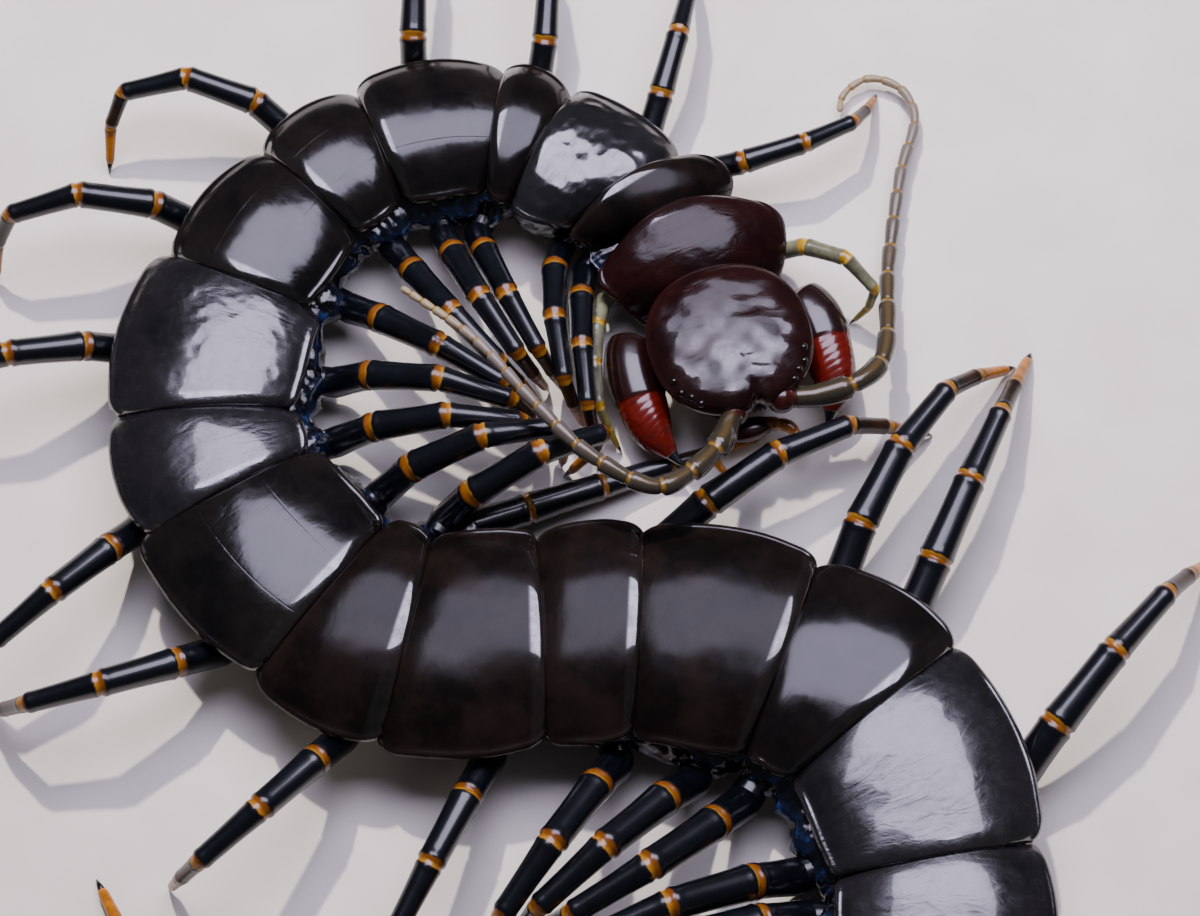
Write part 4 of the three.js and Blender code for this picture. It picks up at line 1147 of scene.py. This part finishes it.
def slab(outline, low, high, bevel):
    """A plate from an outline: the outline is drawn in by a quarter circle at both faces, and each
    face is a fan round the middle of the outline."""
    outline = np.asarray(outline, float)
    across = np.roll(outline, -1, 0) - np.roll(outline, 1, 0)
    normal = unit(np.stack([across[:, 1], -across[:, 0]], -1)) * np.sign(area_of(outline))
    turn = np.linspace(0, math.pi / 2, 5)
    inset = bevel * np.concatenate([1 - np.sin(turn), 1 - np.sin(turn)[::-1]])
    rise = bevel * (1 - np.cos(turn))
    level = np.concatenate([low + rise, high - rise[::-1]])
    rings = outline[None] - normal[None] * inset[:, None, None]
    places = np.concatenate([rings, np.broadcast_to(level[:, None, None], rings.shape[:2] + (1,))], -1)
    return tube(on_head(places), inland(places) | {"aside": rings[..., 0], "run": rings[..., 1]})


def tooth(left):
    """A blunt tooth on the front edge of the plate: a narrow ellipsoid that stands upright."""
    surface = on_head(ball((left, TOOTH_FORWARD, TOOTH_UP), TOOTH_RADII, 12, 16))
    return tube(surface, inland(surface))


teeth = [tooth(side * left) for side in (1, -1) for left in TEETH]
plate = slab(JAW_PLATE, *JAW_PLATE_LEVELS, JAW_PLATE_BEVEL)
add_piece("jaw_plate_surface", [plate] + teeth, maroon_horn, ["jaw_plate"])
print("made a plate with", len(teeth), "teeth")

# %% [markdown]
# ## The mouth parts
#
# In front of the toothed plate a soft deep red lip closes the mouth, and a pair of short palps, the
# mouth feelers, curl inwards over it. They are amber and wet: a membrane lets some light in, so a
# little subsurface scattering suits it better than a plain glossy paint. They are swept tubes, as
# the jaws are.

# %% The lip and the palps
PALP_PATH = np.array([
    [0.8, 6.9, 3.0, 0.7], [2.1, 7.2, 3.1, 0.66], [3.4, 7.9, 3.2, 0.6], [3.9, 9.0, 2.9, 0.5],
    [3.5, 10.0, 2.4, 0.36], [3.0, 10.5, 2.1, 0.16],
])
PALP_JOINTS = (1.4, 2.6, 3.7)
LIP_PLACE = (0, 7.15, 3.0)
LIP_RADII = (2.3, 1.1, 0.95)
amber_membrane = membrane_finish("amber_membrane", "#6e3a0e", "#b5741f", 0.2)


def palp(side):
    """One palp: a sweep along its stations with three shallow rings where its articles meet."""
    line = smooth_line(PALP_PATH)
    run = np.linspace(0, 5, len(line))
    places, along = head_line(line, side)
    radius = line[:, 3] * (1 - 0.14 * sum(bell(run - joint, 0.12) for joint in PALP_JOINTS))
    radius[-1] = 0.05
    return tube(sweep(places, along, head_forward, radius, radius, 24), {})


lip = tube(on_head(ball(LIP_PLACE, LIP_RADII, 24, 40)), {})
add_piece("lip_surface", [lip], red_membrane, ["mouth"])
add_piece("palp_surfaces", [palp(1), palp(-1)], amber_membrane, ["mouth"])
print("the lip is", 2 * LIP_RADII[0], "mm wide")

# %% [markdown]
# ## The legs
#
# A walking leg is a coxa, five articles and a claw. An armature could pose them, but forty-two
# rigs are slow to set by hand. Here the bend is shared out among the joints so that the foot lands
# on its place on the floor, and the whole leg leans a little. Each article flares into a rim, and
# the soft joint behind it is amber: that ring is what names this animal from a step away. One sweep
# makes the leg, with its corners rounded and its radius told by the distance to the nearest joint.

# %% Finish of the legs


def leg_finish(name, dark, tarsus, tip, ring, film, glow):
    """Glossy horn tubes: dark articles, paler feet and rings that go from brown to amber across
    their width. The clear film thins out towards the foot, which is rubbed dull."""
    finish, tree, place = blank_finish(name)
    run = add(tree, "MapRange", {"Value": mark(tree, "run"), "From Min": 0.0, "From Max": 5.0})
    tone = add(tree, "ValToRGB", {"Fac": run.outputs[0]}, [
        (0.0, dark), (0.62, dark), (0.7, tarsus), (0.8, tarsus), (0.86, tip), (1.0, tip)])
    cloud = add(tree, "TexNoise", {"Vector": place, "Scale": per(1.4), "Detail": 4.0, "Roughness": 0.6})
    lighter = add(tree, "ValToRGB", {"Fac": cloud.outputs["Fac"]}, [(0.3, "#8a8a8a"), (0.75, "#ffffff")])
    body = add(tree, "Mix", {0: 1.0, 6: tone.outputs["Color"], 7: lighter.outputs["Color"]},
               data_type="RGBA", blend_type="MULTIPLY")
    ragged = add(tree, "TexNoise", {"Vector": place, "Scale": per(0.6), "Detail": 2.0})
    wander = add(tree, "MapRange", {"Value": ragged.outputs["Fac"], "To Min": -0.14, "To Max": 0.14})
    far = add(tree, "Math", {0: mark(tree, "joint"), 1: wander.outputs[0]}, operation="ADD")
    ring_mask = add(tree, "MapRange", {"Value": far.outputs[0], "From Min": 0.25, "From Max": 0.33,
                                       "To Min": 1.0, "To Max": 0.0})
    beyond = add(tree, "Math", {0: mark(tree, "beyond"), 1: wander.outputs[0]}, operation="ADD")
    across_ring = add(tree, "MapRange", {"Value": beyond.outputs[0], "From Min": -0.5, "From Max": 0.5})
    amber = add(tree, "ValToRGB", {"Fac": across_ring.outputs[0]}, [
        (0.05, ring[0]), (0.45, ring[1]), (0.8, ring[2])])
    colour = add(tree, "Mix", {0: ring_mask.outputs[0], 6: body.outputs[2], 7: amber.outputs["Color"]},
                 data_type="RGBA")
    grain = add(tree, "TexNoise", {"Vector": place, "Scale": per(0.3), "Detail": 3.0})
    bump = add(tree, "Bump", {"Strength": 0.2, "Distance": 0.03 * MM, "Height": grain.outputs["Fac"]})
    wet = add(tree, "MapRange", {"Value": run.outputs[0], "From Min": 0.6, "From Max": 0.85,
                                 "To Min": film, "To Max": 0.1 * film})
    shader = add(tree, "BsdfPrincipled", {
        "Base Color": colour.outputs[2], "Roughness": 0.3, "IOR": 1.5, "Coat Weight": wet.outputs[0],
        "Coat Roughness": 0.08, "Subsurface Weight": glow, "Subsurface Scale": 0.4 * MM,
        "Subsurface Radius": (1.0, 0.5, 0.2), "Normal": bump.outputs[0],
    })
    add(tree, "OutputMaterial", {"Surface": shader.outputs[0]})
    return finish


AMBER = ("#361902", "#6c3c05", "#96691c")
YELLOW = ("#75590a", "#9a7512", "#b0923a")
leg_horn = leg_finish("blue_black_leg_horn", "#080b13", "#2e1a08", "#b56c08", AMBER, 0.4, 0.03)
pale_leg_horn = leg_finish("pale_first_leg_horn", "#787860", "#8c8444", "#a08c30", YELLOW, 0.5, 0.12)

# %% The sizes of the legs and the places of their feet
WALKING_ARTICLES = np.array([
    [5.4, 1.45, 1.35], [7.0, 1.38, 1.22], [6.6, 1.14, 0.92], [3.9, 0.78, 0.66], [4.0, 0.6, 0.42],
])
LAST_ARTICLES = np.array([
    [12.6, 1.7, 1.5], [11.4, 1.5, 1.3], [9.6, 1.22, 1.02], [7.2, 0.88, 0.72], [5.2, 0.64, 0.42],
])
CLAW_LENGTH = 1.25
COXA_LENGTH = 1.0
COXA_DEPTH = 0.8
HIP_SPREAD = 1.03
BEND_SHARE = np.array([0.55, 0.8, 1.25, 0.4, 0])
LEGS = [
    [0.6, [23.2, 15.4, 25, 0.15], [2.0, 2.4, -25, 0.35]],
    [0.84, [26.5, 39.5, -40, 0.7], [0.3, 0.9, -10, -0.02]],
    [0.88, [9.0, 54.0, -10, 0.35], [-1.2, 4.8, -14, 0.04]],
    [0.9, [-8.0, 58.0, -20, 0.6], [-3.1, 8.5, -13, 1.12]],
    [0.94, [-16.0, 57.0, 5, 0.6], [-4.7, 8.6, -15, 0.57]],
    [0.95, [-46.5, 31.0, -40, 0.6], [-5.4, 7.4, -16, 0.49]],
    [1.0, [-56.5, 19.5, -20, 0.6], [-4.5, 5.3, -10, 0.6]],
    [1.0, [-63.0, 5.5, 0, 0.5], [-5.3, 3.6, 0, 0.52]],
    [1.0, [-56.5, -19.0, 15, 0.8], [-3.7, 1.9, 2, 0.64]],
    [1.01, [-54.5, -22.5, 20, 0.7], [-3.5, 1.0, 3, 0.62]],
    [1.02, [-37.5, -38.5, 15, 0.7], [-3.3, 0.1, -5, 0.95]],
    [1.03, [-21.0, -50.0, 5, 0.65], [15.8, 4.4, -39, 0.31]],
    [1.1, [-9.8, -44.0, 5, 0.8], [30.5, 4.2, 25, 1.15]],
    [1.13, [-7.6, -43.6, 5, 0.6], [38.5, 11.0, 30, 1.14]],
    [1.15, [-5.3, -41.9, 15, 0.38], [40.0, 12.5, 0, 0.65]],
    [1.16, [-5.0, -46.8, 0, 0.8], [55.5, -8.0, 5, 0.65]],
    [1.16, [-5.0, -49.1, 0, 0.5], [62.0, -52.0, 0, 0.6]],
    [1.16, [-7.3, -51.7, 0, 0.4], [55.5, -71.0, 0, 0.6]],
    [1.14, [-8.5, -53.6, 0, 0.43], [36.0, -88.0, 0, 0.6]],
    [1.12, [-11.5, -56.6, 0, 0.5], [6.0, -93.0, 0, 0.6]],
]
LAST_LEGS = [1.1, [-43.9, -37.6, 65], [-46.0, -75.0, 0]]
LAST_ROOT = (4.0, 4.6)
GAP = 0.3
print("a walking leg has", len(WALKING_ARTICLES), "articles,", WALKING_ARTICLES[:, 0].sum(), "mm in all")

# %% The lines that the legs follow


def bent_leg(steps, reach):
    """The joints of a leg as distances along and above the line from its hip to its foot. Each
    article is turned down from the one before by its share of one common bend, and that bend is
    found by halving an interval until hip and foot are as far apart as they should be."""
    low, high = 0.0, math.radians(75)
    for _ in range(40):
        bend = (low + high) / 2
        slope = -np.append(0, np.cumsum(BEND_SHARE * bend))
        places = np.cumsum(steps * np.exp(1j * slope))
        low, high = (bend, high) if abs(places[-1]) > reach else (low, bend)
    places = np.append(0, places) * np.exp(-1j * np.angle(places[-1]))
    return places.real, places.imag


def leg_line(articles, size, root, outward, foot, lean):
    """The bent line of a leg from inside the flank to the floor, and the axis that it bends about."""
    steps = np.append(articles[:, 0] * size, CLAW_LENGTH * math.sqrt(size))
    hip = root + outward * COXA_LENGTH * size
    reach = np.linalg.norm(foot - hip)
    along = (foot - hip) / reach
    level = unit(np.array([-along[1], along[0], 0]))
    upright = np.cross(level, along)
    upright = upright * np.sign(upright[2])
    bulge = upright * math.cos(math.radians(lean)) + level * math.sin(math.radians(lean))
    far, above = bent_leg(steps, reach)
    places = hip + far[:, None] * along + above[:, None] * bulge
    return np.concatenate([[root - outward * COXA_DEPTH], places]), np.cross(along, bulge)

# %% [markdown]
# The radius of a leg swells into a rim just before each joint, draws in over the soft ring behind
# it and swells again into the next article. A bevelled cylinder for each article would leave gaps
# at the joints, and one surface has none. The claw is a piece of its own, because it is another
# material: solid dark horn, curved and as sharp as a thorn.

# %% The shape of a leg and of its claw
LEG_COLUMNS = 24
claw_horn = plate_finish("claw_horn", "#0b0706", "#2a130a", "#2a130a", (0.2, 0.3), 0.3)


def leg_surface(articles, size, line, axis):
    """One leg: rows that crowd near the joints, and a radius that goes evenly along each article
    with a low rim, a groove and a shoulder at every joint."""
    ends = distances(line)
    stops = ends[1:-1]
    spaced = (1 - np.cos(np.linspace(0, 1, 29) * math.pi)) / 2
    at = np.concatenate([np.linspace(0, stops[0], 8)[:-1]]
                        + [start + spaced[:-1] * (end - start) for start, end in zip(stops[:-1], stops[1:])]
                        + [stops[-1:]])
    knots = [0, stops[0] * 0.7]
    radii = [articles[0, 1] * 0.9, articles[0, 1] * 0.96]
    for (_, near, far), start, end in zip(articles, stops[:-1], stops[1:]):
        knots += [start + 0.3, end - 0.1]
        radii += [near, far]
    radius = np.interp(at, knots, np.array(radii) * size)
    offset = at[:, None] - stops[1:-1]
    groove = 0.09 * bell(offset - 0.02, 0.2)
    rims = 0.05 * bell(offset + 0.42, 0.24) - groove + 0.04 * bell(offset - 0.42, 0.22)
    radius = radius * (1 + rims).prod(1)
    share = np.interp(at, stops, np.arange(len(stops)))
    radius = radius * (1 - 0.03 * np.sin(math.pi * (share % 1)) ** 2)
    finish_off = np.clip((at - stops[-1] + 0.5) / 0.5, 0, 1)
    radius = radius * (1 - 0.25 * finish_off ** 2)
    centre, along = rounded(line, at, 0.5 * size)
    centre[:, 2] = np.maximum(centre[:, 2], radius + 0.06)
    rings = sweep(centre, along, axis, radius, radius, LEG_COLUMNS)
    nearest = np.take_along_axis(offset, np.abs(offset).argmin(1)[:, None], 1)
    upper = np.maximum(np.sin(full_turn(LEG_COLUMNS)), 0)
    joint = np.abs(nearest) + 0.14 * upper
    beyond = np.broadcast_to(nearest, joint.shape)
    return tube(rings, {"run": share, "joint": joint, "beyond": beyond})


def claw(line, axis, radius):
    """A claw: a cone that narrows with the power 0.8 and curls down to the floor."""
    share = np.sin(np.linspace(0, 1, 18) * math.pi / 2)
    start, end = line[-2], line[-1] + [0, 0, 0.04]
    places = start + (end - start) * share[:, None]
    places[:, 2] += 0.16 * np.sin(share * math.pi)
    along = unit(np.gradient(places, axis=0))
    size = radius * 0.8 * (1 - share) ** 0.8 + 0.03
    sunk = places - along * 0.15 * (1 - share)[:, None]
    surface = sweep(sunk, along, axis, size, size, 16)
    return tube(surface, inland(surface))


# %% All legs


def walking_root(index, side, share):
    """Where a walking leg leaves the flank of its segment, and its way out: square to the body."""
    share = np.array(share)
    reach = HIP_SPREAD * flank_share(index, share, side) * body_width(index, share) / 2
    root = np.append(plan(index, share, np.array(side * (reach + 1.5 * GAP))), ROOT_HEIGHT)
    return root, np.append(turned(headings[index] - 90 * side), 0)


def last_root(side):
    """Where a last leg leaves the end of the trunk, and its way out: straight back."""
    across, height = LAST_ROOT
    root = np.append(joints[-1] + cut_left[-1] * side * across + cut_along[-1] * GAP, height)
    return root, np.append(cut_along[-1], 0)


for name, side in SIDES:
    claws, nodes = [], []
    for index, (size, *feet) in enumerate(LEGS + [LAST_LEGS]):
        x, y, lean, *stand = feet[0 if side > 0 else 1]
        articles = WALKING_ARTICLES if stand else LAST_ARTICLES
        root, outward = walking_root(index, side, stand[0]) if stand else last_root(side)
        line, axis = leg_line(articles, size, root, outward, np.array([x, y, 0.0]), lean)
        surface = leg_surface(articles, size, line, axis)
        finish = pale_leg_horn if index == 0 else leg_horn
        nodes.append(f"leg_{name}_{index + 1:02d}")
        add_piece(f"leg_surface_{name}_{index + 1:02d}", [surface], finish, nodes[-1:])
        claws.append(claw(line, axis, articles[-1, 2] * size))
    add_piece(f"claws_{name}", claws, claw_horn, nodes)
print("made", 2 * COUNT, "legs with their claws")

# %% [markdown]
# ## Floor, light and camera
#
# The floor is a plain pale sheet. A small light stands high behind the animal to the left and
# throws short shadows towards the viewer, a large soft one overhead lays the broad pale reflections
# over the plates, and a weak one fills in from the front. A picture of a sky could light the scene,
# but horn shows what surrounds it, and three lights are easier to place. Only the overhead one is
# seen in reflections: the others would put hot spots and brown bands on the horn. The camera looks
# down at 68 degrees from 300 mm away.

# %% The floor


def floor_finish():
    """Matte pale board with the faintest mottle."""
    finish, tree, place = blank_finish("pale_board")
    mottle = add(tree, "TexNoise", {"Vector": place, "Scale": per(9.0), "Detail": 5.0})
    tone = add(tree, "ValToRGB", {"Fac": mottle.outputs["Fac"]}, [(0.3, "#cfc9c2"), (0.7, "#d8d3cd")])
    shader = add(tree, "BsdfPrincipled", {"Base Color": tone.outputs["Color"], "Roughness": 0.75})
    add(tree, "OutputMaterial", {"Surface": shader.outputs[0]})
    return finish


floor_mesh = bpy.data.meshes.new("floor")
floor_mesh.from_pydata([(-2, -2, 0), (2, -2, 0), (2, 2, 0), (-2, 2, 0)], [], [(0, 1, 2, 3)])
floor_mesh.materials.append(floor_finish())
floor = bpy.data.objects.new("floor", floor_mesh)
bpy.context.scene.collection.objects.link(floor)
print("laid the floor")

# %% A helper that adds a light


def add_light(name, place, aim, size, power, colour):
    """An area light at a place, in millimetres, turned so that it shines on its aim."""
    data = bpy.data.lights.new(name, "AREA")
    data.shape = "RECTANGLE"
    data.size, data.size_y = (side * MM for side in size)
    data.energy = power
    data.color = linear(colour)[:3]
    light = bpy.data.objects.new(name, data)
    light.location = [value * MM for value in place]
    away = Vector(place) - Vector(aim)
    light.rotation_euler = away.to_track_quat("Z", "Y").to_euler()
    bpy.context.scene.collection.objects.link(light)
    return light


# %% Three lights and a faint sky
PANEL_SIZE = (240, 160)
key = add_light("hard_key", (-150, 500, 620), (0, 0, 0), (26, 26), 9.0, "#fff6ea")
key.visible_glossy = False
add_light("overhead_panel", (30, 110, 230), (30, 110, 0), PANEL_SIZE, 1.15, "#e6e0ff")
fill = add_light("front_fill", (250, -600, 450), (0, 0, 0), (500, 300), 0.8, "#fff3e6")
fill.visible_glossy = False
world = bpy.data.worlds.new("studio")
bpy.context.scene.world = world
world.use_nodes = True
background = world.node_tree.nodes["Background"].inputs
background["Color"].default_value = linear("#c8ccd4")
background["Strength"].default_value = 0.1
print("the overhead panel measures", PANEL_SIZE, "mm")

# %% The camera
CAMERA_ELEVATION = math.radians(68)
CAMERA_DISTANCE = 300.0
CAMERA_TARGET = np.array([0.0, 0.0, 5.0])
camera_data = bpy.data.cameras.new("photo_camera")
camera_data.sensor_width = 36.0
camera_data.lens = 100.0
camera_data.clip_start = 0.01
camera_data.clip_end = 20.0
camera = bpy.data.objects.new("photo_camera", camera_data)
back = np.array([0.0, -math.cos(CAMERA_ELEVATION), math.sin(CAMERA_ELEVATION)])
camera.location = ((CAMERA_TARGET + to_frame + back * CAMERA_DISTANCE) * MM).tolist()
camera.rotation_euler = (math.pi / 2 - CAMERA_ELEVATION, 0.0, 0.0)
bpy.context.scene.collection.objects.link(camera)
bpy.context.scene.camera = camera
print("the camera stands", [round(1000 * part) for part in camera.location], "mm from the origin")
